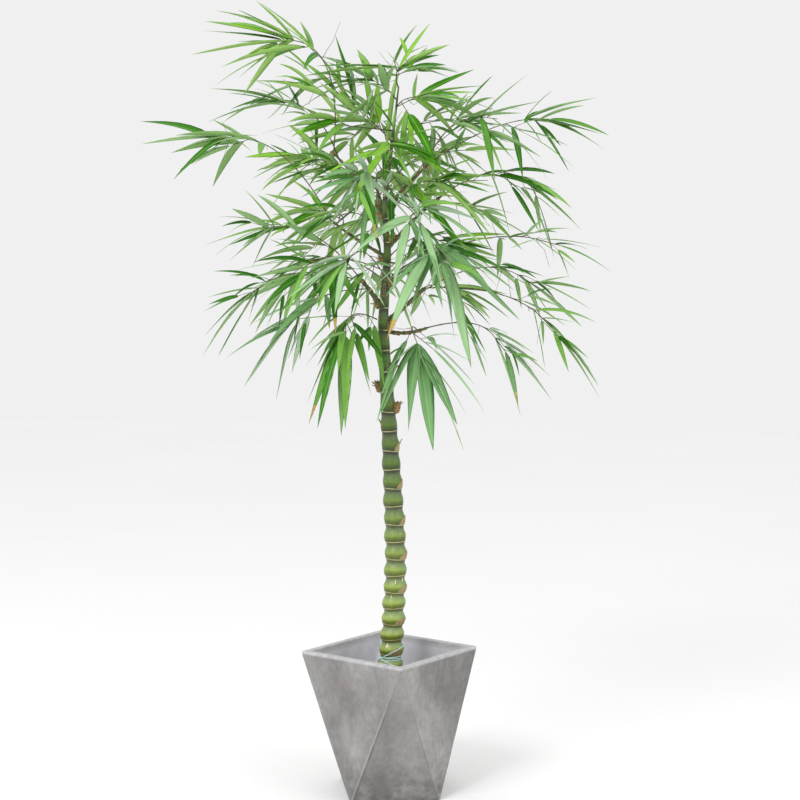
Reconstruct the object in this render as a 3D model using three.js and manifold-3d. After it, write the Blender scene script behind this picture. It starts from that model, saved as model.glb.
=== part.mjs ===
// Potted bamboo: a swollen-jointed bamboo culm in a square faceted concrete planter.
// Millimetres, +Z up, the viewer's side is -Y. The origin is the centre of the planter's flat underside.
import * as THREE from 'three';
import { ConvexGeometry } from 'three/addons/geometries/ConvexGeometry.js';
import { mergeVertices } from 'three/addons/utils/BufferGeometryUtils.js';
import Module from 'manifold-3d';

// Sizes of the planter, the soil and the culm
const POT_HEIGHT = 320;
const POT_TOP_SIDE = 280; // across the square mouth, flat to flat
const POT_WALL = 16;
const POT_FLOOR = 22;
const POT_ROUNDING = 3;
const SOIL_EDGE = 238; // height of the soil at the wall
const SOIL_CROWN = 244; // height of the soil round the culm
const MOUND_FOOT = 110; // radius at which the soil starts to rise to the culm
const MOUND_HEAD = 52;
const MOUND_SIDES = 12;
const GAP = 0.3; // clearance between neighbouring solids

const CULM_FOOT = SOIL_CROWN + GAP;
const CULM_TIP = 1560;
const CULM_SIDES = 8;
const FIRST_RING = 309; // height of the lowest ring above the soil
const INTERNODE = 34; // length of the lowest joint
const INTERNODE_GAIN = 0.72; // each joint is this much longer than the one below
const LEADER_FOOT = 1290; // above this height the culm is a thin leader without buds
const LEADER_INTERNODE = 62;
const SWOLLEN_TOP = 900; // above this height the joints hardly swell
const SCALE_TOP = 870; // buds below this height are shut scales, those above are stubs of twigs
const BELLY_RISE = 8; // a joint is widest this far above its ring
// Radius of the culm's bellies against height.
const CULM_RADIUS = [
  [268, 25.4], [330, 24.2], [523, 23.0], [636, 21.6], [841, 17.6],
  [965, 13.7], [1062, 11.6], [1200, 8.4], [1300, 6.3], [1420, 3.9], [1560, 1.8],
];
// How far the culm leans to the right of the pot's axis, and away from the viewer, against height.
const CULM_LEAN = [
  [268, 0, 0], [412, 9, -2], [523, 13, -3], [636, 9, -2], [841, -2, 3],
  [965, -10, 6], [1062, -13, 4], [1199, -5, 0], [1300, -10, 3], [1420, 4, 4], [1560, 20, 0],
];

const UP = new THREE.Vector3(0, 0, 1);
const wasm = await Module();
wasm.setup();

// How solids are made
function toSolid(geometry) {
  const bare = new THREE.BufferGeometry();
  bare.setAttribute('position', geometry.getAttribute('position'));
  if (geometry.index) bare.setIndex(geometry.index);
  const welded = mergeVertices(bare, 1e-4);
  return new wasm.Manifold(new wasm.Mesh({
    numProp: 3,
    vertProperties: new Float32Array(welded.getAttribute('position').array),
    triVerts: new Uint32Array(welded.index.array),
  }));
}

function toGeometry(solid) {
  const mesh = solid.getMesh();
  const geometry = new THREE.BufferGeometry();
  const positions = new Float32Array(mesh.numVert * 3);
  for (let i = 0; i < mesh.numVert; i++) {
    for (let k = 0; k < 3; k++) positions[3 * i + k] = mesh.vertProperties[i * mesh.numProp + k];
  }
  geometry.setAttribute('position', new THREE.BufferAttribute(positions, 3));
  geometry.setIndex(new THREE.BufferAttribute(new Uint32Array(mesh.triVerts), 1));
  geometry.computeVertexNormals();
  return geometry;
}

// The largest closed body of a solid: sealed hollows are filled and loose scraps dropped.
function soundBody(solid) {
  const bodies = solid.decompose();
  return bodies.reduce((best, body) => (body.volume() > best.volume() ? body : best));
}

// A closed tube through `stations`, each with a centre and a radius, with `sides` flat sides.
function tube(stations, sides) {
  const positions = [];
  const index = [];
  let normal = null;
  stations.forEach(({ at }, i) => {
    const before = stations[Math.max(0, i - 1)].at;
    const after = stations[Math.min(stations.length - 1, i + 1)].at;
    const along = new THREE.Vector3().subVectors(after, before).normalize();
    if (!normal) normal = Math.abs(along.z) > 0.8 ? new THREE.Vector3(1, 0, 0) : UP.clone();
    normal = normal.clone().addScaledVector(along, -normal.dot(along)).normalize();
    const across = new THREE.Vector3().crossVectors(along, normal);
    for (let k = 0; k < sides; k++) {
      const turn = (2 * Math.PI * k) / sides;
      const p = at.clone()
        .addScaledVector(normal, stations[i].radius * Math.cos(turn))
        .addScaledVector(across, stations[i].radius * Math.sin(turn));
      positions.push(p.x, p.y, p.z);
    }
  });
  for (let i = 0; i < stations.length - 1; i++) {
    for (let k = 0; k < sides; k++) {
      const a = i * sides + k;
      const b = i * sides + ((k + 1) % sides);
      index.push(a, b, b + sides, a, b + sides, a + sides);
    }
  }
  const top = (stations.length - 1) * sides;
  for (let k = 1; k < sides - 1; k++) {
    index.push(0, k + 1, k);
    index.push(top, top + k, top + k + 1);
  }
  const geometry = new THREE.BufferGeometry();
  geometry.setAttribute('position', new THREE.Float32BufferAttribute(positions, 3));
  geometry.setIndex(index);
  return toSolid(geometry);
}

// Reads a table of [height, value, ...] rows at a height, smoothly from row to row.
function readTable(table, height, column) {
  const last = table.length - 1;
  if (height <= table[0][0]) return table[0][column];
  if (height >= table[last][0]) return table[last][column];
  const i = table.findIndex((row) => row[0] > height) - 1;
  const t = (height - table[i][0]) / (table[i + 1][0] - table[i][0]);
  const slope = (j) => {
    const a = table[Math.max(0, j - 1)];
    const b = table[Math.min(last, j + 1)];
    return (b[column] - a[column]) / (b[0] - a[0]);
  };
  const span = table[i + 1][0] - table[i][0];
  const h00 = (1 + 2 * t) * (1 - t) ** 2;
  const h10 = t * (1 - t) ** 2;
  const h01 = t * t * (3 - 2 * t);
  const h11 = t * t * (t - 1);
  const values = h00 * table[i][column] + h01 * table[i + 1][column];
  const slopes = h10 * slope(i) + h11 * slope(i + 1);
  return values + slopes * span;
}

// Planter and soil
// A square mouth over a square foot that is turned by 45 degrees: four upright triangles under the
// mouth's sides, and between them four leaning triangles that hang from its corners.
const MOUTH_CORNER = POT_TOP_SIDE / Math.SQRT2;
const FOOT_CORNER = POT_TOP_SIDE / (2 * Math.SQRT2);
const SLOPE = (MOUTH_CORNER - FOOT_CORNER) / POT_HEIGHT;
const SLOPE_STRETCH = Math.sqrt(1 + SLOPE * SLOPE);

function squarePoints(radius, height, turned) {
  return [0, 1, 2, 3].map((k) => {
    const a = (Math.PI / 2) * k + (turned ? Math.PI / 4 : 0);
    return new THREE.Vector3(radius * Math.cos(a), radius * Math.sin(a), height);
  });
}

function makePlanter() {
  const r = POT_ROUNDING;
  const ball = new THREE.OctahedronGeometry(r, 1).getAttribute('position');
  const corners = [
    ...squarePoints(MOUTH_CORNER - r * Math.SQRT2, POT_HEIGHT - r, false),
    ...squarePoints((FOOT_CORNER + SLOPE * r - r * SLOPE_STRETCH) * Math.SQRT2, r, true),
  ];
  const skin = corners.flatMap((corner) => {
    const points = [];
    for (let i = 0; i < ball.count; i++) {
      points.push(new THREE.Vector3().fromBufferAttribute(ball, i).add(corner));
    }
    return points;
  });
  return toSolid(new ConvexGeometry(skin)).subtract(cavity(0, POT_FLOOR, POT_HEIGHT + 2));
}

// The room inside the planter between two heights, drawn in from the inner walls by `inset`.
function cavity(inset, floor, ceiling) {
  const upright = POT_TOP_SIDE / 2 - POT_WALL - inset;
  const leaning = (z) => FOOT_CORNER + SLOPE * z - (POT_WALL + inset) * SLOPE_STRETCH;
  const points = [];
  const meet = (upright * Math.SQRT2 - leaning(0)) / SLOPE;
  [floor, Math.min(ceiling, meet), ceiling].forEach((z) => {
    const flat = Math.min(leaning(z), upright * Math.SQRT2);
    const cut = Math.max(0, Math.min(flat, upright * Math.SQRT2 - flat));
    for (let k = 0; k < 4; k++) {
      const a = (Math.PI / 2) * k;
      [-cut, cut].forEach((side) => {
        points.push(new THREE.Vector3(
          flat * Math.cos(a) - side * Math.sin(a),
          flat * Math.sin(a) + side * Math.cos(a),
          z,
        ));
      });
    }
  });
  const firstOfKind = (p, i) => points.findIndex((q) => q.distanceTo(p) < 0.01) === i;
  return toSolid(new ConvexGeometry(points.filter(firstOfKind)));
}

function makeSoil() {
  const fill = cavity(GAP, POT_FLOOR + GAP, SOIL_EDGE);
  const mound = [];
  for (let k = 0; k < MOUND_SIDES; k++) {
    const a = (2 * Math.PI * k) / MOUND_SIDES;
    const foot = SOIL_EDGE - (SOIL_CROWN - SOIL_EDGE);
    mound.push(new THREE.Vector3(MOUND_FOOT * Math.cos(a), MOUND_FOOT * Math.sin(a), foot));
    mound.push(new THREE.Vector3(MOUND_HEAD * Math.cos(a), MOUND_HEAD * Math.sin(a), SOIL_CROWN));
  }
  return fill.add(toSolid(new ConvexGeometry(mound)));
}

// Culm
const culmAt = (z) => new THREE.Vector3(readTable(CULM_LEAN, z, 1), readTable(CULM_LEAN, z, 2), z);
const culmRadius = (z) => readTable(CULM_RADIUS, z, 1);

// Heights of the rings, from the soil up. The joints lengthen slowly, and faster in the thin leader.
const rings = [];
for (let z = FIRST_RING, k = 0; z < CULM_TIP - 30; k++) {
  rings.push(z);
  z += z < LEADER_FOOT ? INTERNODE + INTERNODE_GAIN * k : LEADER_INTERNODE;
}
// The waist under a ring is deep low down, where the bellies are short and full.
const waist = (z) => (
  THREE.MathUtils.mapLinear(Math.min(z, SWOLLEN_TOP), FIRST_RING, SWOLLEN_TOP, 0.82, 0.95)
);

// The two sides from which buds and branches leave the culm, in turn, as angles in plan.
const BUD_SIDES = [-28, 152];
const budSide = (k) => THREE.MathUtils.degToRad(BUD_SIDES[k % 2]);
// Dry sheaths that still stand as narrow pointed blades: [ring, side in plan, length].
const DRY_SHEATHS = [[13, 165, 30], [11, -20, 34], [9, -12, 20]];

// The culm's sections, from below the soil's top to the tip, each thicker by `extra`.
function culmStations(extra = 0) {
  const stations = [{ at: culmAt(CULM_FOOT - 12), radius: culmRadius(CULM_FOOT) * 1.04 }];
  rings.forEach((z, k) => {
    const next = k + 1 < rings.length ? rings[k + 1] : CULM_TIP;
    const belly = culmRadius(z + BELLY_RISE);
    stations.push({ at: culmAt(z - 1.5), radius: culmRadius(z) * waist(z) });
    stations.push({ at: culmAt(z + BELLY_RISE), radius: belly });
    if (z < SWOLLEN_TOP) {
      const shoulder = belly * THREE.MathUtils.lerp(1, waist(z), 0.65);
      stations.push({ at: culmAt(z + 0.52 * (next - z)), radius: shoulder });
    }
  });
  stations.push({ at: culmAt(CULM_TIP), radius: culmRadius(CULM_TIP) });
  return stations.map(({ at, radius }) => ({ at, radius: radius + extra }));
}

// The culm's own radius at a height, to the corners of its section.
function skinRadius(z) {
  const stations = culmStations();
  const i = Math.max(1, stations.findIndex(({ at }) => at.z > z));
  const [low, high] = [stations[i - 1], stations[i]];
  return THREE.MathUtils.mapLinear(z, low.at.z, high.at.z, low.radius, high.radius);
}

function makeCulm() {
  const stations = culmStations();
  const pieces = [tube(stations, CULM_SIDES)];
  rings.forEach((z, k) => {
    if (k === 0 || z > LEADER_FOOT) return;
    const radius = culmRadius(z + BELLY_RISE);
    const out = new THREE.Vector3(Math.cos(budSide(k)), Math.sin(budSide(k)), 0);
    const foot = culmAt(z + 1).addScaledVector(out, radius * 0.72);
    if (z < SCALE_TOP) {
      // A pointed bud scale that lies against the belly.
      const tip = culmAt(z + 19).addScaledVector(out, radius * 1.02 + 0.6);
      const swell = foot.clone().lerp(tip, 0.35).addScaledVector(out, 1.2);
      pieces.push(tube([
        { at: foot, radius: 5.2 }, { at: swell, radius: 5.4 }, { at: tip, radius: 0.5 },
      ], 4));
    } else {
      // A stub of cut twigs: a knob with short pegs.
      const knob = foot.clone().addScaledVector(out, radius * 0.5 + 3).addScaledVector(UP, 5);
      pieces.push(tube([{ at: foot, radius: 4.2 }, { at: knob, radius: 3.4 }], 5));
      [-0.6, 0.6].forEach((fan, j) => {
        const turn = budSide(k) + fan;
        const aim = new THREE.Vector3(Math.cos(turn), Math.sin(turn), 0.7 + 0.2 * j);
        const inside = knob.clone().addScaledVector(out, -2.5);
        pieces.push(tube([
          { at: inside, radius: 1.6 },
          { at: inside.clone().addScaledVector(aim.normalize(), 11 + 2 * j), radius: 1.2 },
        ], 3));
      });
    }
  });
  DRY_SHEATHS.forEach(([ring, side, length]) => {
    const z = rings[ring];
    const a = THREE.MathUtils.degToRad(side);
    const out = new THREE.Vector3(Math.cos(a), Math.sin(a), 0);
    const foot = culmAt(z).addScaledVector(out, culmRadius(z) * waist(z) - 1.5);
    const elbow = foot.clone().addScaledVector(UP, length * 0.45).addScaledVector(out, 5.5);
    const tip = foot.clone().addScaledVector(UP, length).addScaledVector(out, 7);
    pieces.push(tube([
      { at: foot, radius: 4 }, { at: elbow, radius: 2.6 }, { at: tip, radius: 0.5 },
    ], 4));
  });
  return soundBody(wasm.Manifold.union(pieces).trimByPlane([0, 0, 1], CULM_FOOT));
}

// Twine round the culm's foot
// Soft twine in the waist under the lowest ring. Each turn leans by its own angle, so that the
// turns cross and hold together: [height, lean, side of its high point, slack].
const TIE_CORD = 1.5; // the cord's radius
const TIE_TURNS = [
  [298, 1.5, 20, 0], [300.5, -3.5, 60, 0], [302.5, 5, -40, 0],
  [312, 34, -20, 2.2], [290, -24, -10, 1.2],
];
const TIE_STEPS = 16;
const TIE_SIDES = 4;

function makeTie() {
  const turns = TIE_TURNS.map(([height, lean, side, slack]) => {
    const high = THREE.MathUtils.degToRad(side);
    const rise = Math.tan(THREE.MathUtils.degToRad(lean)) * culmRadius(height);
    const centreLine = [];
    for (let k = 0; k < TIE_STEPS; k++) {
      const a = (2 * Math.PI * k) / TIE_STEPS;
      const z = height + rise * Math.cos(a - high);
      const bulge = slack * (0.55 + 0.45 * Math.cos(2 * a));
      const around = skinRadius(z) + GAP + TIE_CORD + bulge;
      centreLine.push(new THREE.Vector3(around * Math.cos(a), around * Math.sin(a), 0).add(culmAt(z)));
    }
    const positions = [];
    const index = [];
    centreLine.forEach((p, i) => {
      const next = (i + 1) % TIE_STEPS;
      const ahead = centreLine[next].clone().sub(centreLine[(i + TIE_STEPS - 1) % TIE_STEPS]).normalize();
      const outward = new THREE.Vector3().crossVectors(ahead, UP).normalize();
      const above = new THREE.Vector3().crossVectors(outward, ahead);
      for (let s = 0; s < TIE_SIDES; s++) {
        const t = (2 * Math.PI * s) / TIE_SIDES;
        const q = p.clone()
          .addScaledVector(outward, TIE_CORD * Math.cos(t))
          .addScaledVector(above, TIE_CORD * Math.sin(t));
        positions.push(q.x, q.y, q.z);
        const t2 = (s + 1) % TIE_SIDES;
        const [a, b] = [i * TIE_SIDES + s, i * TIE_SIDES + t2];
        const [c, d] = [next * TIE_SIDES + t2, next * TIE_SIDES + s];
        index.push(a, c, b, a, d, c);
      }
    });
    const geometry = new THREE.BufferGeometry();
    geometry.setAttribute('position', new THREE.Float32BufferAttribute(positions, 3));
    geometry.setIndex(index);
    return toSolid(geometry);
  });
  const clearance = (1.15 * GAP) / Math.cos(Math.PI / CULM_SIDES);
  const grownCulm = tube(culmStations(clearance).slice(0, 6), CULM_SIDES);
  return soundBody(wasm.Manifold.union(turns).subtract(grownCulm));
}

// Main boughs
// [name, height at which it leaves the culm, direction in plan, reach, height of its tip, radius at
// its foot and at its tip, how far it rises above a straight line between them]
const BOUGHS = [
  ['bough_left_low', 1073, 172, 68, 1147, 4.6, 3.4, 6],
  ['bough_left_middle', 1190, 174, 128, 1270, 3.0, 2.0, -8],
  ['bough_left_high', 1279, 176, 122, 1416, 3.0, 2.0, 12],
  ['bough_right_lowest', 1029, -22, 84, 1036, 3.4, 2.6, -16],
  ['bough_right_low', 1046, 4, 76, 1122, 4.0, 3.0, -10],
  ['bough_right_middle', 1131, -16, 62, 1184, 3.8, 3.0, 8],
  ['bough_right_upper', 1207, -4, 112, 1322, 3.4, 2.3, 14],
  ['bough_right_high', 1293, 12, 104, 1404, 2.9, 2.0, 10],
  ['bough_front_low', 1090, -104, 88, 1150, 3.6, 2.6, 8],
  ['bough_front_high', 1240, -86, 84, 1318, 3.2, 2.3, 10],
  ['bough_back_low', 1112, 84, 96, 1170, 3.8, 2.7, 8],
  ['bough_back_high', 1254, 100, 104, 1350, 3.2, 2.2, 12],
];

const polar = (azimuth, reach, height) => {
  const a = THREE.MathUtils.degToRad(azimuth);
  return new THREE.Vector3(reach * Math.cos(a), reach * Math.sin(a), height);
};
const bezier = (a, b, c, t) => a.clone().multiplyScalar((1 - t) ** 2)
  .addScaledVector(b, 2 * t * (1 - t))
  .addScaledVector(c, t * t);

const limbs = {};
limbs.culm = { at: culmAt, radius: culmRadius, solid: makeCulm() };

// The share of a curve from which what `make` grows is just clear of the limb that carries it.
function seatShare(make, length, host) {
  for (let step = 0; step < 600; step++) {
    const start = (step * 0.1) / length;
    if (make(start).minGap(host, 2) >= GAP) return start;
  }
  return 0;
}

// A tapering limb along a curve, begun just clear of the limb that carries it.
function seatedTube(curve, radii, count, sides, host) {
  const from = (start) => {
    const stations = [];
    for (let i = 0; i <= count; i++) {
      const t = start + (1 - start) * (i / count);
      stations.push({ at: curve(t), radius: radii[0] + (radii[1] - radii[0]) * t });
    }
    return tube(stations, sides);
  };
  return from(seatShare(from, curve(0).distanceTo(curve(1)), host));
}

BOUGHS.forEach(([name, z, azimuth, reach, height, thick, thin, bow]) => {
  const from = culmAt(z);
  const tip = polar(azimuth, reach, height);
  const bend = from.clone().lerp(tip, 0.5).addScaledVector(UP, bow);
  const curve = (t) => bezier(from, bend, tip, t);
  limbs[name] = {
    at: curve,
    radius: (t) => thick + (thin - thick) * t,
    solid: seatedTube(curve, [thick, thin], 5, 6, limbs.culm.solid),
  };
});

// Masses of foliage
// One row for each mass: its name, the limb it grows from and where along it (a height on the culm,
// a share of a bough), its hub as direction in plan, reach and height, the heading and pitch in
// which its sprays point, the number of twigs, of leaves on each, the leaves' length, and its seed.
const MASSES = [
  ['leaves_top', 'culm', 1557, -4, 22, 1600, 20, 34, 4, 3, 145, 9],
  ['leaves_top_long', 'culm', 1530, 176, 34, 1566, 178, 0, 3, 3, 165, 3],
  ['leaves_top_left_spikes', 'culm', 1440, 140, 92, 1520, 160, 36, 3, 3, 145, 5],
  ['leaves_top_front', 'culm', 1500, -66, 108, 1530, -28, 2, 4, 4, 150, 10],
  ['leaves_crown_left', 'culm', 1465, 168, 112, 1478, 172, 6, 4, 4, 135, 10],
  ['leaves_crown_right', 'culm', 1455, 8, 112, 1488, 12, 4, 4, 4, 135, 6],
  ['leaves_crown_front', 'culm', 1370, -96, 112, 1432, -100, -8, 4, 4, 145, 4],
  ['leaves_crown_back', 'culm', 1335, 100, 118, 1400, 100, -6, 4, 4, 140, 7],
  ['leaves_top_left', 'bough_left_high', 1, -171, 212, 1652, 178, 8, 5, 3, 182, 9],
  ['leaves_high_left', 'bough_left_high', 0.9, 164, 232, 1528, 176, 0, 3, 3, 152, 3],
  ['leaves_far_left', 'bough_left_middle', 1, 173, 345, 1450, 176, -4, 3, 3, 178, 9],
  ['leaves_inner_left_high', 'bough_left_high', 0.6, 151, 172, 1405, 168, 8, 4, 4, 132, 4],
  ['leaves_inner_left', 'bough_left_middle', 0.8, 133, 190, 1290, 150, -8, 4, 4, 132, 10],
  ['leaves_left', 'bough_left_low', 1, -170, 258, 1256, -174, -6, 5, 4, 128, 10],
  ['leaves_left_low', 'bough_left_low', 0.85, -179, 286, 1124, 180, -38, 4, 3, 128, 9],
  ['leaves_left_lower', 'bough_left_low', 0.6, 158, 206, 1066, 170, -50, 3, 3, 150, 9],
  ['leaves_left_hanging', 'culm', 1046, -158, 108, 1050, -150, -64, 4, 3, 165, 6],
  ['leaves_heart_left', 'culm', 1230, -158, 108, 1284, -166, -14, 4, 4, 130, 17],
  ['leaves_left_front', 'bough_front_low', 0.8, -146, 200, 1186, -152, -22, 4, 4, 138, 7],
  ['leaves_front_left', 'bough_front_low', 1, -117, 236, 1192, -124, -34, 3, 4, 150, 1],
  ['leaves_front_high', 'bough_front_high', 1, -114, 206, 1360, -122, -14, 4, 3, 182, 7],
  ['leaves_front', 'bough_front_high', 0.85, -84, 258, 1268, -84, -24, 3, 4, 150, 4],
  ['leaves_front_low_right', 'bough_right_lowest', 0.8, -78, 178, 1010, -62, -54, 4, 3, 172, 7],
  ['leaves_front_right', 'bough_right_middle', 1, -68, 214, 1206, -50, -36, 5, 4, 182, 9],
  ['leaves_heart_right', 'culm', 1186, -22, 112, 1238, -20, -18, 4, 4, 135, 24],
  ['leaves_right_lowest', 'bough_right_lowest', 1, -16, 232, 1016, -14, -56, 3, 3, 140, 3],
  ['leaves_far_right_low', 'bough_right_low', 1, -4, 338, 1056, 2, -44, 3, 3, 122, 10],
  ['leaves_right_low', 'bough_right_low', 0.8, 14, 310, 1150, 8, -28, 3, 3, 130, 9],
  ['leaves_far_right', 'bough_right_middle', 0.85, -8, 320, 1230, -4, -12, 3, 3, 122, 8],
  ['leaves_right', 'bough_right_upper', 1, -15, 284, 1362, -10, -30, 4, 3, 132, 10],
  ['leaves_high_right', 'bough_right_high', 1, -3, 296, 1490, 0, 8, 3, 3, 148, 7],
  ['leaves_high_right_front', 'bough_right_high', 0.8, -32, 214, 1488, -26, -2, 4, 3, 140, 5],
  ['leaves_inner_right_high', 'bough_right_high', 0.6, 26, 150, 1424, 24, 0, 4, 4, 136, 6],
  ['leaves_inner_right', 'bough_right_upper', 0.75, 20, 204, 1302, 14, -20, 3, 4, 130, 33],
  ['leaves_inner_front', 'bough_front_high', 0.6, -54, 128, 1352, -48, -8, 4, 4, 146, 34],
  ['leaves_inner_right_low', 'bough_right_low', 0.6, 40, 186, 1110, 34, -42, 3, 4, 138, 35],
  ['leaves_back_low', 'bough_back_low', 1, 92, 240, 1160, 92, -34, 4, 4, 146, 36],
  ['leaves_back_right', 'bough_back_low', 0.85, 56, 246, 1206, 52, -22, 4, 4, 142, 37],
  ['leaves_back_left', 'bough_back_low', 0.7, 128, 276, 1166, 132, -30, 4, 4, 142, 38],
  ['leaves_back', 'bough_back_high', 1, 84, 285, 1320, 84, -16, 4, 4, 146, 48],
  ['leaves_back_high_left', 'bough_back_high', 0.85, 124, 268, 1400, 128, -4, 4, 4, 140, 40],
  ['leaves_back_high_right', 'bough_back_high', 0.7, 54, 218, 1430, 50, 0, 4, 4, 140, 41],
  ['leaves_back_top', 'culm', 1400, 92, 158, 1500, 92, 8, 3, 4, 138, 42],
];
const STEM_RADIUS = [1.9, 1.25];
const TWIG_RADIUS = [1.3, 1.05];
const TWIG_PITCH = 48; // distance between twigs along a stem
const LEAF_WIDTH = 0.108; // of its length
const LEAF_THICKNESS = 0.0135; // of its length

// Even numbers from 0 to 1, the same for the same seed.
function draws(seed) {
  let state = seed;
  for (let i = 0; i < 4; i++) state = (state * 48271) % 2147483647;
  return (low, high) => {
    state = (state * 48271) % 2147483647;
    return low + (high - low) * (state / 2147483647);
  };
}

// Two unit vectors square to a direction: level across it, and the one that rises.
function frameOf(direction) {
  const level = new THREE.Vector3().crossVectors(UP, direction);
  if (level.length() < 0.05) level.set(1, 0, 0);
  level.normalize();
  return [level, new THREE.Vector3().crossVectors(direction, level)];
}

// Turns a direction aside by `angle`, in a plane that is rolled by `roll` from the level.
function turnAside(direction, angle, roll) {
  const [level, rise] = frameOf(direction);
  return direction.clone().multiplyScalar(Math.cos(angle))
    .addScaledVector(level, Math.sin(angle) * Math.cos(roll))
    .addScaledVector(rise, Math.sin(angle) * Math.sin(roll))
    .normalize();
}

// The seeded rule: a stem that arrives at the hub along the mass's heading, twigs that leave it
// to both sides near its end, and a fan of leaves on each twig. Every draw is made whether or not
// the piece is kept, so a skipped leaf changes nothing else.
function growMass(row) {
  const [, limb, along, azimuth, reach, height, heading, pitch, ...rule] = row;
  const [twigCount, leafCount, leafLength, seed] = rule;
  const rad = THREE.MathUtils.degToRad;
  const draw = draws(seed);
  const from = limbs[limb].at(along);
  const hub = polar(azimuth, reach, height);
  const aim = polar(heading, Math.cos(rad(pitch)), Math.sin(rad(pitch)));
  const run = from.distanceTo(hub);
  const bend = hub.clone().addScaledVector(aim, -0.42 * run);
  const stem = (t) => bezier(from, bend, hub, t);
  const room = {
    centre: hub.clone().addScaledVector(aim, 0.35 * leafLength),
    radius: 60 + 1.05 * leafLength,
  };
  const pitchShare = Math.min(TWIG_PITCH / run, 0.72 / (twigCount - 1));
  const twigs = [];
  for (let i = 0; i < twigCount; i++) {
    const last = i === twigCount - 1;
    const share = 1 - (twigCount - 1 - i) * pitchShare;
    const side = i % 2 ? -1 : 1;
    const root = stem(share);
    const angle = last ? draw(-0.15, 0.15) : side * draw(0.45, 1.05);
    const direction = turnAside(aim, angle, draw(-0.9, 0.9));
    direction.addScaledVector(UP, draw(-0.12, 0.12)).normalize();
    const length = draw(26, 58);
    const end = root.clone().addScaledVector(direction, length);
    const roll = draw(-1.25, 1.25);
    const [level, rise] = frameOf(direction);
    const fanSide = level.multiplyScalar(Math.cos(roll)).addScaledVector(rise, Math.sin(roll));
    const leaves = [];
    const count = leafCount + (draw(0, 1) < 0.4 ? 1 : 0);
    for (let j = 0; j < leafCount + 1; j++) {
      const seat = 1 - 0.62 * (1 - j / (count - 1));
      const middle = j === count - 1;
      const hand = (i + j) % 2 ? -1 : 1;
      const fan = middle ? draw(-0.14, 0.14) : hand * draw(0.32, 0.95);
      const heft = leafLength * draw(0.74, 1.1) * (middle ? 1.06 : 1);
      const blade = turnAside(direction, fan, roll + draw(-0.3, 0.3));
      const droop = draw(0.04, 0.3);
      const tilt = draw(-0.9, 0.9);
      if (j >= count) continue;
      const base = root.clone().lerp(end, seat);
      const tip = base.clone().addScaledVector(blade, heft * 0.97).addScaledVector(UP, -heft * droop);
      const bow = base.clone().addScaledVector(blade, heft * 0.5);
      leaves.push({ seat, base, bow, tip, blade, length: heft, tilt });
    }
    twigs.push({ share, root, end, direction, side: fanSide, leaves });
  }
  return { stem, run, twigs, room };
}

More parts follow.
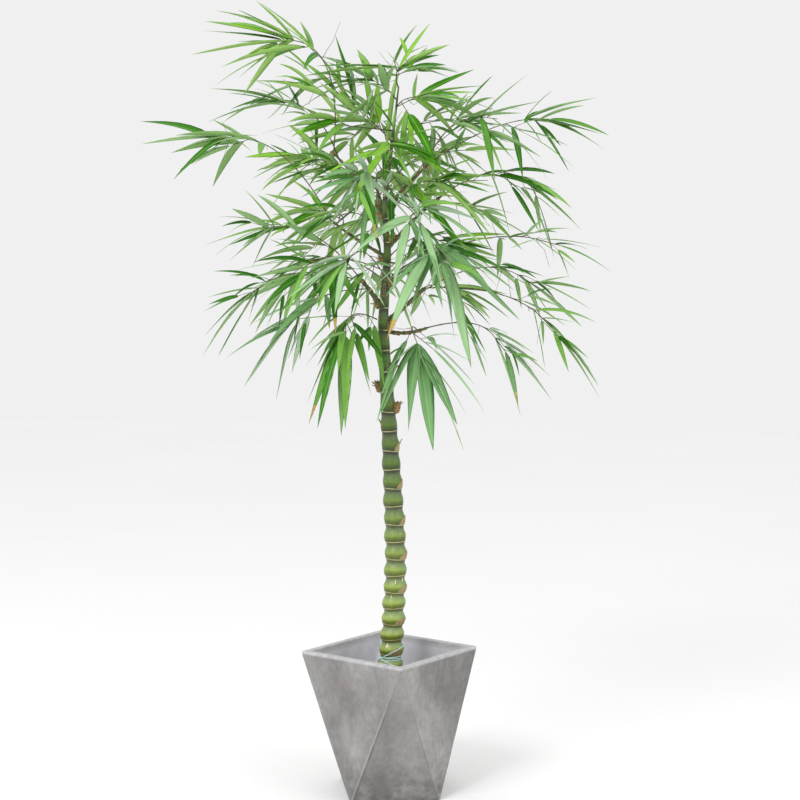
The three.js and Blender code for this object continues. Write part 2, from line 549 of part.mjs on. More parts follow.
// A mass is one closed skin. It starts as a three-sided stem, and each twig and leaf is drawn out
// of one triangle of what carries it, so all of them are grown together without a seam.
class Skin {
  constructor() {
    this.points = [];
    this.faces = [];
  }

  // Three points round a centre, counted counter-clockwise as seen from ahead.
  ring(centre, direction, toward, radius) {
    const normal = toward.clone().addScaledVector(direction, -toward.dot(direction)).normalize();
    const across = new THREE.Vector3().crossVectors(direction, normal);
    return [Math.PI / 3, Math.PI, -Math.PI / 3].map((turn) => centre.clone()
      .addScaledVector(normal, radius * Math.cos(turn))
      .addScaledVector(across, radius * Math.sin(turn)));
  }

  add(points) {
    this.points.push(...points);
    return points.map((_, k) => this.points.length - points.length + k);
  }

  // Joins two rings by six triangles, and returns them.
  span(near, far) {
    const sides = [];
    for (let k = 0; k < 3; k++) {
      const l = (k + 1) % 3;
      sides.push([near[k], near[l], far[l]], [near[k], far[l], far[k]]);
    }
    this.faces.push(...sides);
    return sides;
  }

  centre(face) {
    return face.reduce((sum, i) => sum.add(this.points[i]), new THREE.Vector3()).divideScalar(3);
  }

  normal(face) {
    const [a, b, c] = face.map((i) => this.points[i]);
    return new THREE.Vector3().subVectors(b, a).cross(new THREE.Vector3().subVectors(c, a)).normalize();
  }

  // Of some triangles, those that look in a direction, with the one that looks most in it first.
  facing(faces, direction) {
    const score = (face) => this.normal(face).dot(direction);
    return faces.filter((face) => this.faces.includes(face) && score(face) > 0)
      .sort((a, b) => score(b) - score(a));
  }

  // Lines up a ring with a triangle, so that the skin between them has no twist.
  matched(face, points) {
    const middle = this.centre(face);
    const centre = points.reduce((sum, p) => sum.add(p), new THREE.Vector3()).divideScalar(3);
    const turned = [0, 1, 2].map((s) => [points[s], points[(s + 1) % 3], points[(s + 2) % 3]]);
    const fit = (ring) => ring.reduce((sum, p, k) => sum
      + p.clone().sub(centre).normalize().dot(this.points[face[k]].clone().sub(middle).normalize()), 0);
    return turned.reduce((best, ring) => (fit(ring) > fit(best) ? ring : best));
  }

  // Whether an edge of the skin passes through a face that it doesn't meet. Only what involves the
  // faces from number `first` on is looked at.
  isCrossed(first) {
    const edgesOf = (face) => face.map((i, k) => [i, face[(k + 1) % 3]]).filter(([i, j]) => i < j);
    const fresh = this.faces.slice(first);
    const runs = (edges, faces) => edges.some(([i, j]) => {
      const ray = new THREE.Ray(this.points[i], this.points[j].clone().sub(this.points[i]));
      const length = ray.direction.length();
      ray.direction.divideScalar(length);
      return faces.some((face) => {
        if (face.includes(i) || face.includes(j)) return false;
        const [a, b, c] = face.map((k) => this.points[k]);
        const hit = ray.intersectTriangle(a, b, c, false, new THREE.Vector3());
        return hit && hit.distanceTo(ray.origin) < length;
      });
    });
    return runs(fresh.flatMap(edgesOf), this.faces) || runs(this.faces.flatMap(edgesOf), fresh);
  }

  // Draws a row of rings, and a point ahead of them if there is one, out of a face. It returns each
  // stretch's sides and the last ring, or nothing when the skin would cross itself.
  drawOut(seat, rings, tip) {
    const [pointCount, before] = [this.points.length, [...this.faces]];
    this.faces.splice(this.faces.indexOf(seat), 1);
    const first = this.faces.length;
    let near = seat;
    const stretches = rings.map((points) => {
      const far = this.add(points);
      const sides = this.span(near, far);
      near = far;
      return sides;
    });
    if (tip) {
      const [point] = this.add([tip]);
      for (let k = 0; k < 3; k++) this.faces.push([near[k], near[(k + 1) % 3], point]);
    } else {
      this.faces.push(near);
    }
    if (!this.isCrossed(first)) return { stretches, end: near };
    this.points.length = pointCount;
    this.faces = before;
    return null;
  }

  solid() {
    return skinSolid(this.points, this.faces);
  }
}

function skinSolid(points, faces) {
  const geometry = new THREE.BufferGeometry();
  const positions = points.flatMap((p) => p.toArray());
  geometry.setAttribute('position', new THREE.Float32BufferAttribute(positions, 3));
  geometry.setIndex(faces.flat());
  return toSolid(geometry);
}

// The plain closed solid between a triangle and a ring, with a point ahead of it or a flat end.
function shoot(skin, face, ring, tip) {
  const points = [...face.map((i) => skin.points[i]), ...ring, ...(tip ? [tip] : [])];
  const faces = [[2, 1, 0]];
  for (let k = 0; k < 3; k++) {
    const l = (k + 1) % 3;
    faces.push([k, l, 3 + l], [k, 3 + l, 3 + k]);
    if (tip) faces.push([3 + k, 3 + l, 6]);
  }
  if (!tip) faces.push([3, 4, 5]);
  return skinSolid(points, faces);
}

// A leaf's widest section, two fifths of the way along: its two margins and its keel.
function leafSection({ base, bow, tip, length, tilt }) {
  const middle = bezier(base, bow, tip, 0.4);
  const chord = new THREE.Vector3().subVectors(tip, base).normalize();
  const [level, rise] = frameOf(chord);
  const across = level.clone().multiplyScalar(Math.cos(tilt)).addScaledVector(rise, Math.sin(tilt));
  const under = new THREE.Vector3().crossVectors(across, chord);
  const half = (length * LEAF_WIDTH) / 2;
  return [
    middle.clone().addScaledVector(across, half),
    middle.clone().addScaledVector(across, -half),
    middle.clone().addScaledVector(under, length * LEAF_THICKNESS),
  ];
}

// What is already in place, as small pieces that a new leaf or twig has to stay clear of.
const placed = [];
function reachOf(solid) {
  const { min, max } = solid.boundingBox();
  return new THREE.Box3(new THREE.Vector3(...min), new THREE.Vector3(...max)).expandByScalar(GAP);
}
// Clear of every other mass and limb by the gap.
function isClear(solid, owner) {
  const box = reachOf(solid);
  return placed.every((other) => (
    other.owner === owner || !other.box.intersectsBox(box) || solid.minGap(other.solid, 1) >= GAP
  ));
}
function place(solid, owner) {
  placed.push({ solid, owner, box: reachOf(solid) });
}

Object.entries(limbs).forEach(([name, limb]) => place(limb.solid, name));
const grown = MASSES.map((row) => ({ row, ...growMass(row) }));

// A mass's stem from a share of its curve: bare sections first, then a short section for each
// side twig to be drawn out of, and a flat end for the last one.
function growStem({ run, stem, twigs }, start) {
  const skin = new Skin();
  const joints = twigs.slice(0, -1).flatMap(({ share }) => [share - 2 / run, share + 2 / run]);
  const bare = [0, 0.3, 0.65].map((part) => start + (joints[0] - start) * part);
  const seats = [];
  let ring = null;
  [...bare, ...joints, 1].forEach((share, i) => {
    const along = stem(Math.min(1, share + 0.02)).sub(stem(Math.max(0, share - 0.02))).normalize();
    const radius = STEM_RADIUS[0] + (STEM_RADIUS[1] - STEM_RADIUS[0]) * share;
    const next = skin.add(skin.ring(stem(share), along, twigs[0].direction, radius));
    if (ring) {
      const sides = skin.span(ring, next);
      if (i > bare.length && (i - bare.length) % 2 === 1) seats.push(sides);
    } else {
      skin.faces.push([...next].reverse());
    }
    ring = next;
  });
  skin.faces.push(ring);
  return { skin, seats, cap: ring };
}

// The stems go in first, so that no leaf of one mass stands in the way of another's stem.
grown.forEach((mass) => {
  const from = (start) => growStem(mass, start).skin.solid();
  Object.assign(mass, growStem(mass, seatShare(from, mass.run, limbs[mass.row[1]].solid)));
  const solid = mass.skin.solid();
  if (!isClear(solid, mass.row[0])) throw new Error(`the stem of ${mass.row[0]} touches its neighbour`);
  place(solid, mass.row[0]);
});

grown.forEach((mass) => {
  const [name] = mass.row;
  const { skin, room } = mass;
  const inRoom = (p) => p.distanceTo(room.centre) <= room.radius;
  mass.twigs.forEach((twig, i) => {
    const last = i === mass.twigs.length - 1;
    const stations = [0.34, ...twig.leaves.slice(1).map(({ seat }) => seat)];
    const rings = stations.map((share) => skin.ring(
      twig.root.clone().lerp(twig.end, share), twig.direction, twig.side,
      TWIG_RADIUS[0] + (TWIG_RADIUS[1] - TWIG_RADIUS[0]) * share,
    ));
    let grownTwig = null;
    (last ? [mass.cap] : skin.facing(mass.seats[i], twig.direction)).some((seat) => {
      const turn = rings[0].indexOf(skin.matched(seat, rings[0])[0]);
      const aligned = rings.map((ring) => [ring[turn], ring[(turn + 1) % 3], ring[(turn + 2) % 3]]);
      const stick = shoot(skin, seat, aligned.at(-1));
      grownTwig = isClear(stick, name) && skin.drawOut(seat, aligned);
      if (grownTwig) place(stick, name);
      return grownTwig;
    });
    if (!grownTwig) return;
    twig.leaves.forEach((leaf, j) => {
      if (!inRoom(leaf.tip)) return;
      const middle = j === twig.leaves.length - 1;
      const sides = middle ? [grownTwig.end] : grownTwig.stretches[j + 1];
      skin.facing(sides, leaf.blade).some((seat) => {
        const section = skin.matched(seat, leafSection(leaf));
        const [outward, foot] = [skin.normal(seat), skin.centre(seat)];
        const ahead = [...section, leaf.tip].every((p) => p.clone().sub(foot).dot(outward) > 0.3);
        if (!ahead) return false;
        const blade = shoot(skin, seat, section, leaf.tip);
        const fits = isClear(blade, name) && skin.drawOut(seat, [section], leaf.tip);
        if (fits) place(blade, name);
        return fits;
      });
    });
  });
  mass.solid = skin.solid();
});

// The whole plant
const concrete = { color: 0xa9a8a6, roughness: 0.85, metalness: 0 };
const earth = { color: 0x4a3a2c, roughness: 1, metalness: 0 };
const culmSkin = { color: 0x8c9a4e, roughness: 0.5, metalness: 0 };
const twine = { color: 0xcfe3d8, roughness: 0.6, metalness: 0 };
const bark = { color: 0x6d6a3f, roughness: 0.7, metalness: 0 };
const leafGreens = [0x4f8f2c, 0x5d9c4a, 0x6fa578, 0x3f7d26];

const group = new THREE.Group();
group.name = 'potted_bamboo';
function addMesh(name, solid, look) {
  const mesh = new THREE.Mesh(toGeometry(solid), new THREE.MeshStandardMaterial({ ...look }));
  mesh.name = name;
  group.add(mesh);
}
addMesh('planter', makePlanter(), concrete);
addMesh('soil', makeSoil(), earth);
addMesh('culm', limbs.culm.solid, culmSkin);
addMesh('tie', makeTie(), twine);
BOUGHS.forEach(([name]) => addMesh(name, limbs[name].solid, bark));
grown.forEach(({ row, solid }, order) => {
  const color = leafGreens[order % leafGreens.length];
  addMesh(row[0], solid, { color, roughness: 0.55, metalness: 0 });
});

export default group;
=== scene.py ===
# Potted bamboo: the looks of the plant and its planter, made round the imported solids.
# Sizes are in millimetres until a mesh is made. +Z is up and the viewer is on the -Y side.
import math

import bpy
import numpy as np
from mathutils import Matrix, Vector, noise


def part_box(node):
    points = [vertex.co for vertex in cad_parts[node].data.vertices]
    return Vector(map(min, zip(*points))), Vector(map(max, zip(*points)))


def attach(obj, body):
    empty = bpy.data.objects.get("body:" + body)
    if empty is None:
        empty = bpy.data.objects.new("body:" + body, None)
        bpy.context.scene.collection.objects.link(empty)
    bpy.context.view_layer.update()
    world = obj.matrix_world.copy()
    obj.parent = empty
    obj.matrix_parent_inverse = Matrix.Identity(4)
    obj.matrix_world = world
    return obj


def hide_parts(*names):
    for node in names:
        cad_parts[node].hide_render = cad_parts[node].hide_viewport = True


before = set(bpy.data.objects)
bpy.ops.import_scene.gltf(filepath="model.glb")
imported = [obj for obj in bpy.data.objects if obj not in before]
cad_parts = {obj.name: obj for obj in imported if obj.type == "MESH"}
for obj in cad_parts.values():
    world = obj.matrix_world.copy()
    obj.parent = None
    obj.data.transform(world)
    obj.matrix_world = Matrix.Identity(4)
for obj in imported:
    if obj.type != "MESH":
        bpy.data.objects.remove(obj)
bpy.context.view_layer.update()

MM = 0.001


# The planter: a square mouth over a square foot that is turned by 45 degrees, cast in one piece
# from fine grey cement. It was pressed in a mould and brushed while green, and its edges wore pale.
pot_low, pot_high = (np.array(corner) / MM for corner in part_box("planter"))
POT_HEIGHT = pot_high[2]
# How much the rounding takes off each corner of the solid's mouth.
CORNER_LOSS = 1.24
POT_SIDE = (pot_high[0] - pot_low[0] + 2 * CORNER_LOSS) / math.sqrt(2)
POT_WALL = 16.0
POT_FLOOR = 22.0
MOUTH_REACH = POT_SIDE / math.sqrt(2)
FOOT_REACH = MOUTH_REACH / 2
SLOPE = (MOUTH_REACH - FOOT_REACH) / POT_HEIGHT
SLOPE_STRETCH = math.hypot(1, SLOPE)
SIDE_STEPS = 26
WALL_ROWS = 64
INSIDE_ROWS = 20
OUTER_ROUNDING = 3.0
INNER_ROUNDING = 2.0
ROUND_STEPS = 4
# How pale and sharp each of the eight creases is, round from the right-hand one. Towards the mouth
# they fade, over a length and up to a place that are shares of the pot's height.
CREASE_WEAR = (0.5, 0.8, 0.55, 0.9, 0.7, 0.45, 1.0, 0.35)
CREASE_END = 0.86
CREASE_FADE = 0.3
CREASE_WIDTH = 1.5
CREASE_PALENESS = 0.62
GROOVE_PLACE = 3.4
GROOVE_WIDTH = 2.0
# The higher this power, the sharper two walls meet; wear changes it from place to place.
SHARPNESS = 140.0
SHARPNESS_CHANGE = 60.0
WEAR_SIZE = 30.0
# How deep the unevenness of a hand-made wall is, and how wide its waves.
UNEVEN_DEPTH = 0.35
UNEVEN_SIZE = 46.0


def linear(hex_colour):
    """An sRGB hex colour as the linear RGBA that a shader takes."""
    parts = [int(hex_colour[i : i + 2], 16) / 255 for i in (1, 3, 5)]
    return [c / 12.92 if c <= 0.04045 else ((c + 0.055) / 1.055) ** 2.4 for c in parts] + [1.0]


def add_node(tree, kind, settings=None, values=None, links=None, stops=()):
    """Adds a node to a tree, with its settings, its sockets' values and what is linked to them. A
    colour ramp also takes stops: each is a place and a hex colour, or a place and a grey."""
    node = tree.nodes.new(kind)
    for name, value in (settings or {}).items():
        setattr(node, name, value)
    for socket, value in (values or {}).items():
        node.inputs[socket].default_value = value
    for socket, source in (links or {}).items():
        tree.links.new(source, node.inputs[socket])
    if stops:
        elements = node.color_ramp.elements
        while len(elements) < len(stops):
            elements.new(0.5)
        for element, (place, colour) in zip(elements, stops):
            element.position = place
            element.color = linear(colour) if isinstance(colour, str) else [colour] * 3 + [1.0]
    return node


def new_material(name, constants):
    """An empty material, its tree and its shader. What is the same all over is set on the sockets."""
    material = bpy.data.materials.new(name)
    material.use_nodes = True
    shader = material.node_tree.nodes["Principled BSDF"]
    for socket, value in constants.items():
        shader.inputs[socket].default_value = value
    return material, material.node_tree, shader


def grain(tree, size_mm, detail=4.0, stretch=(1, 1, 1), stops=()):
    """A noise on object coordinates whose lumps are about size_mm across, toned by any stops."""
    place = add_node(tree, "ShaderNodeTexCoord").outputs["Object"]
    turned = add_node(tree, "ShaderNodeMapping", values={"Scale": stretch}, links={"Vector": place})
    values = {"Scale": 1 / (size_mm * MM), "Detail": detail, "Roughness": 0.55}
    lumps = add_node(tree, "ShaderNodeTexNoise", values=values, links={"Vector": turned.outputs[0]})
    if not stops:
        return lumps.outputs["Fac"]
    toned = add_node(tree, "ShaderNodeValToRGB", links={"Fac": lumps.outputs["Fac"]}, stops=stops)
    return toned.outputs["Color"]


def layered(tree, colour, layers):
    """Lays layers over a colour in turn. Each has its share, its colour and the way it blends; a
    share or a colour is a number, a hex colour or another node's output."""
    for share, layer, blend in layers:
        mix = add_node(tree, "ShaderNodeMix", {"data_type": "RGBA", "blend_type": blend})
        for socket, given in ((0, share), (6, colour), (7, layer)):
            if isinstance(given, str):
                mix.inputs[socket].default_value = linear(given)
            elif isinstance(given, float):
                mix.inputs[socket].default_value = given
            else:
                tree.links.new(given, mix.inputs[socket])
        colour = mix.outputs[2]
    return colour


def marks_of(tree, *labels):
    """The numbers that a piece's mesh carries at each point, by their labels."""
    nodes = [add_node(tree, "ShaderNodeAttribute", {"attribute_name": label}) for label in labels]
    return [node.outputs["Fac"] for node in nodes]


def add_relief(tree, shader, height, depth_mm):
    """Relief from a height, laid over any relief that the shader already has."""
    node = add_node(tree, "ShaderNodeBump", values={"Distance": depth_mm * MM}, links={"Height": height})
    if shader.inputs["Normal"].links:
        tree.links.new(shader.inputs["Normal"].links[0].from_socket, node.inputs["Normal"])
    tree.links.new(node.outputs[0], shader.inputs["Normal"])


def tube(rows, sides, around=False):
    """The faces between rows of points that are closed rings. The ends are shut, or joined if it
    runs around to its own beginning."""
    faces = []
    total = rows * sides
    for i in range(rows if around else rows - 1):
        for k in range(sides):
            a = i * sides + k
            b = i * sides + (k + 1) % sides
            faces.append((a, b, (b + sides) % total, (a + sides) % total))
    if not around:
        faces.append(tuple(reversed(range(sides))))
        faces.append(tuple(range(total - sides, total)))
    return faces


def join(parts):
    """Several (points, faces, finish) parts as one list of points, faces and finishes."""
    points = []
    faces = []
    finishes = []
    for part_points, part_faces, finish in parts:
        base = len(points)
        points.extend(part_points)
        faces.extend(tuple(base + i for i in face) for face in part_faces)
        finishes.extend(finish if isinstance(finish, list) else [finish] * len(part_faces))
    return points, faces, finishes


def make_piece(name, parts, materials, marks=None):
    """A mesh object at the origin, from parts in millimetres. marks are its attributes."""
    points, faces, finishes = join(parts)
    mesh = bpy.data.meshes.new(name)
    mesh.from_pydata((np.asarray(points) * MM).tolist(), [], faces)
    for material in materials:
        mesh.materials.append(material)
    mesh.polygons.foreach_set("material_index", finishes)
    for label, values in (marks or {}).items():
        layer = mesh.attributes.new(label, "FLOAT", "POINT")
        layer.data.foreach_set("value", np.asarray(values, dtype=np.float32))
    mesh.polygons.foreach_set("use_smooth", [True] * len(mesh.polygons))
    mesh.update()
    piece = bpy.data.objects.new(name, mesh)
    bpy.context.scene.collection.objects.link(piece)
    return piece


def pot_section(height, inset):
    """The eight-sided section at a height, drawn in by an inset. Each point comes with how near a
    crease it is, and how near a line beside the crease in a leaning wall where a shallow groove is
    painted as shade; the shape has no groove there."""
    upright = POT_SIDE / 2 - inset
    leaning = FOOT_REACH + SLOPE * height - inset * SLOPE_STRETCH
    reach = min(leaning, upright * math.sqrt(2))
    half = max(0.0, min(upright * math.sqrt(2) - reach, reach))
    corners = []
    for quarter in range(4):
        turn = math.pi / 2 * quarter
        out = np.array([math.cos(turn), math.sin(turn)])
        along = np.array([-math.sin(turn), math.cos(turn)])
        corners += [out * reach - along * half, out * reach + along * half]
    points = []
    creases = []
    grooves = []
    for k, first in enumerate(corners):
        second = corners[(k + 1) % 8]
        length = np.linalg.norm(second - first)
        for step in range(SIDE_STEPS):
            share = 0.5 - 0.5 * math.cos(math.pi * step / SIDE_STEPS)
            points.append(first + (second - first) * share)
            away = min(share, 1 - share) * length
            kept = CREASE_WEAR[k if share < 0.5 else (k + 1) % 8]
            kept *= min(1.0, max(0.0, (CREASE_END - height / POT_HEIGHT) / CREASE_FADE))
            creases.append(math.exp(-away / CREASE_WIDTH) * kept)
            groove = math.exp(-(((away - GROOVE_PLACE) / GROOVE_WIDTH) ** 2))
            grooves.append(groove * (k % 2 == 0) * kept)
    return points, creases, grooves, upright, reach


def round_creases(point, height, upright, leaning):
    """Draws a point in where two walls meet, further where the edge has worn."""
    angle = math.atan2(point[1], point[0])
    wear = noise.noise(Vector((point[0], point[1], height)) / WEAR_SIZE)
    power = SHARPNESS + SHARPNESS_CHANGE * wear
    reaches = []
    for k in range(8):
        facing = math.cos(angle - math.pi / 4 * k)
        if facing > 0.3:
            reaches.append((upright if k % 2 else leaning) / facing)
    nearest = min(reaches)
    drawn = sum((reach / nearest) ** -power for reach in reaches) ** (-1 / power)
    return point * drawn


def pot_rows():
    """Each row's height, inset and share of the pale rim, from the underside over the rim to the floor."""
    quarter = [math.pi / 2 * k / ROUND_STEPS for k in range(ROUND_STEPS + 1)]
    outer = OUTER_ROUNDING
    inner = INNER_ROUNDING
    wall = POT_HEIGHT - 2 * outer
    depth = POT_HEIGHT - inner - POT_FLOOR
    rows = [(outer * (1 - math.cos(a)), outer * (1 - math.sin(a)), 0.0) for a in quarter]
    rows += [(outer + wall * k / WALL_ROWS, 0.0, 0.0) for k in range(1, WALL_ROWS)]
    rows += [(POT_HEIGHT - outer * (1 - math.sin(a)), outer * (1 - math.cos(a)), 1.0) for a in quarter]
    rows += [(POT_HEIGHT, POT_WALL / 2, 1.0)]
    for a in quarter:
        rows.append((POT_HEIGHT - inner * (1 - math.cos(a)), POT_WALL - inner * (1 - math.sin(a)), 1.0))
    for k in range(1, INSIDE_ROWS + 1):
        rows.append((POT_HEIGHT - inner - depth * k / INSIDE_ROWS, POT_WALL, 0.0))
    return rows


def make_planter(materials):
    """One closed skin through all the rows, shut by its underside and its floor."""
    points = []
    marks = {"edge": [], "groove": [], "inner": [], "lean": []}
    rows = pot_rows()
    for height, inset, rim in rows:
        section, creases, grooves, upright, leaning = pot_section(height, inset)
        half = max(0.0, upright * math.sqrt(2) - leaning)
        lean_limit = math.sin(2 * math.atan2(half, leaning)) if half < leaning else 1.1
        outside = inset < POT_WALL / 2
        for flat, crease, groove in zip(section, creases, grooves):
            x, y = round_creases(flat, height, upright, leaning)
            uneven = UNEVEN_DEPTH * noise.noise(Vector((x, y, height)) / UNEVEN_SIZE)
            stretch = 1 + uneven / math.hypot(x, y)
            points.append((x * stretch, y * stretch, height))
            marks["edge"].append(max(rim, CREASE_PALENESS * crease * outside))
            # Where a dark line of painted shade is laid beside a crease of a leaning wall.
            marks["groove"].append(groove * outside * (rim == 0.0))
            # Which points lie on the inner walls; the cement paints them paler, as painted light inside the
            # pot.
            marks["inner"].append(float(inset >= POT_WALL and rim == 0.0))
            # Which points lie on a leaning wall; the cement paints those walls darker, as painted shade.
            marks["lean"].append(float(outside and abs(math.sin(2 * math.atan2(y, x))) < lean_limit))
    return make_piece("cement_planter", [(points, tube(len(rows), 8 * SIDE_STEPS), 0)], materials, marks)


# Cast cement, brushed while green: soft grey clouds about 110 mm across, faint warm stains, fine
# pores, dark smudges at the foot, and a pale worn rim. The leaning walls are painted darker, as
# painted shade; a dark line beside each crease of a leaning wall is painted shade where a shallow
# groove would be; and the inner walls are painted paler, as painted light that lifts the shade
# inside the pot. Matt, with no gloss anywhere. The speckle and the pores are drawn a little coarser
# than they are, to show in the picture.
cement, tree, shader = new_material("brushed_cast_cement", {"Roughness": 0.82, "Specular IOR Level": 0.35})
clouds = grain(tree, 110, 6.0, (1, 1, 0.6), [(0.38, "#7c7a79"), (0.5, "#8c8a89"), (0.64, "#9e9d9c")])
blotches = grain(tree, 15, 7.0, stops=[(0.32, 0.4), (0.5, 0.5), (0.68, 0.6)])
strokes = grain(tree, 4.5, 5.0, (1, 1, 0.2), [(0.3, 0.41), (0.5, 0.5), (0.7, 0.59)])
stains = grain(tree, 60, 3.0, (1, 1.3, 0.8), [(0.54, 0.0), (0.72, 0.35)])
speckle = grain(tree, 2.6, 3.0, stops=[(0.3, 0.42), (0.7, 0.58)])
# Painted light: a pale lavender grey laid on the inner walls to lift the shade inside the pot.
painted_inner_light = grain(tree, 40, 5.0, stops=[(0.35, "#d8d8df"), (0.65, "#e6e6ed")])
edge, groove, inner, lean = marks_of(tree, "edge", "groove", "inner", "lean")
object_place = add_node(tree, "ShaderNodeTexCoord").outputs["Object"]
height_of = add_node(tree, "ShaderNodeSeparateXYZ", links={"Vector": object_place}).outputs["Z"]
foot = add_node(tree, "ShaderNodeMapRange", values={
    "From Min": 0.0, "From Max": 0.11, "To Min": 1.0, "To Max": 0.0}, links={"Value": height_of}).outputs[0]
# Painted shade: the leaning walls are darkened by a fifth of the way towards a darker grey.
painted_lean_shade = add_node(tree, "ShaderNodeMath", {"operation": "MULTIPLY"}, {1: 0.2}, {0: lean}).outputs[0]
# The third of these masks darkens a line beside each crease of a leaning wall: painted shade of a shallow
# groove that the shape does not have.
smudged, worn, painted_groove_shade = (
    add_node(tree, "ShaderNodeMath", {"operation": "MULTIPLY"}, links={
        0: where, 1: grain(tree, size, detail, stops=stops)}).outputs[0]
    for where, size, detail, stops in (
        (foot, 24, 5.0, [(0.4, 0.0), (0.62, 0.9)]),
        (edge, 16, 4.0, [(0.3, 0.5), (0.62, 0.95)]),
        (groove, 30, 3.0, [(0.34, 0.3), (0.56, 0.8)])))
faces_colour = layered(tree, clouds, [
    (0.5, blotches, "OVERLAY"),
    (0.45, strokes, "OVERLAY"),
    (stains, "#978a8c", "MIX"),
    (painted_lean_shade, "#716e6d", "MIX"),
    (0.5, speckle, "OVERLAY"),
    (smudged, "#62605f", "MIX"),
    (worn, "#c6c5c8", "MIX"),
    (painted_groove_shade, "#555352", "MIX"),
    (inner, painted_inner_light, "MIX")])
tree.links.new(faces_colour, shader.inputs["Base Color"])
add_relief(tree, shader, grain(tree, 7, 6.0), 0.5)
scattered = add_node(tree, "ShaderNodeTexVoronoi", values={"Scale": 1 / (4.5 * MM)}, links={
    "Vector": object_place}).outputs["Distance"]
pores = add_node(tree, "ShaderNodeValToRGB", links={"Fac": scattered}, stops=[(0.05, 0.0), (0.16, 1.0)])
add_relief(tree, shader, pores.outputs["Color"], 0.25)

planter = make_planter([cement])
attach(planter, "root")
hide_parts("planter")


# The soil: moist bark-based potting mix, filled to below the rim and drawn up a little round the
# culm. Loose bark flakes lie on it, strewn by Geometry Nodes and made real.
SOIL_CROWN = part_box("soil")[1][2] / MM
SOIL_EDGE = SOIL_CROWN - 6.0
SOIL_REACH = POT_WALL + 0.8
SOIL_DEPTH = 60.0
SOIL_RINGS = 26
# The mound round the culm: how far it reaches, and over what length it rises.
MOUND_REACH = 110.0
MOUND_SLOPE = 58.0
LUMP_HEIGHT = 2.4
LUMP_TOP = 1.4
LUMP_SIZE = 17.0


def make_soil(materials):
    """A closed body: lumpy on top, plain where the planter hides it."""
    points = [(0.0, 0.0, SOIL_CROWN - 0.5)]
    section = pot_section(SOIL_EDGE, SOIL_REACH)[0]
    count = len(section)
    for ring in range(1, SOIL_RINGS + 1):
        share = ring / SOIL_RINGS
        for flat in section:
            x, y = flat * share
            climb = min(1.0, max(0.0, (MOUND_REACH - math.hypot(x, y)) / MOUND_SLOPE))
            rise = (SOIL_CROWN - SOIL_EDGE) * climb
            lumps = LUMP_HEIGHT * noise.fractal(Vector((x, y, 3.0)) / LUMP_SIZE, 0.9, 2.0, 3)
            points.append((x, y, SOIL_EDGE - 1.5 + rise * 0.8 + min(lumps, LUMP_TOP)))
    for flat in pot_section(SOIL_EDGE - SOIL_DEPTH, SOIL_REACH)[0]:
        points.append((flat[0], flat[1], SOIL_EDGE - SOIL_DEPTH))
    faces = [(0, 1 + k, 1 + (k + 1) % count) for k in range(count)]
    for ring in range(SOIL_RINGS):
        for k in range(count):
            a = 1 + ring * count + k
            b = 1 + ring * count + (k + 1) % count
            faces.append((a, a + count, b + count, b))
    last = 1 + SOIL_RINGS * count
    faces.append(tuple(reversed(range(last, last + count))))
    return make_piece("potting_mix", [(points, faces, 0)], materials)


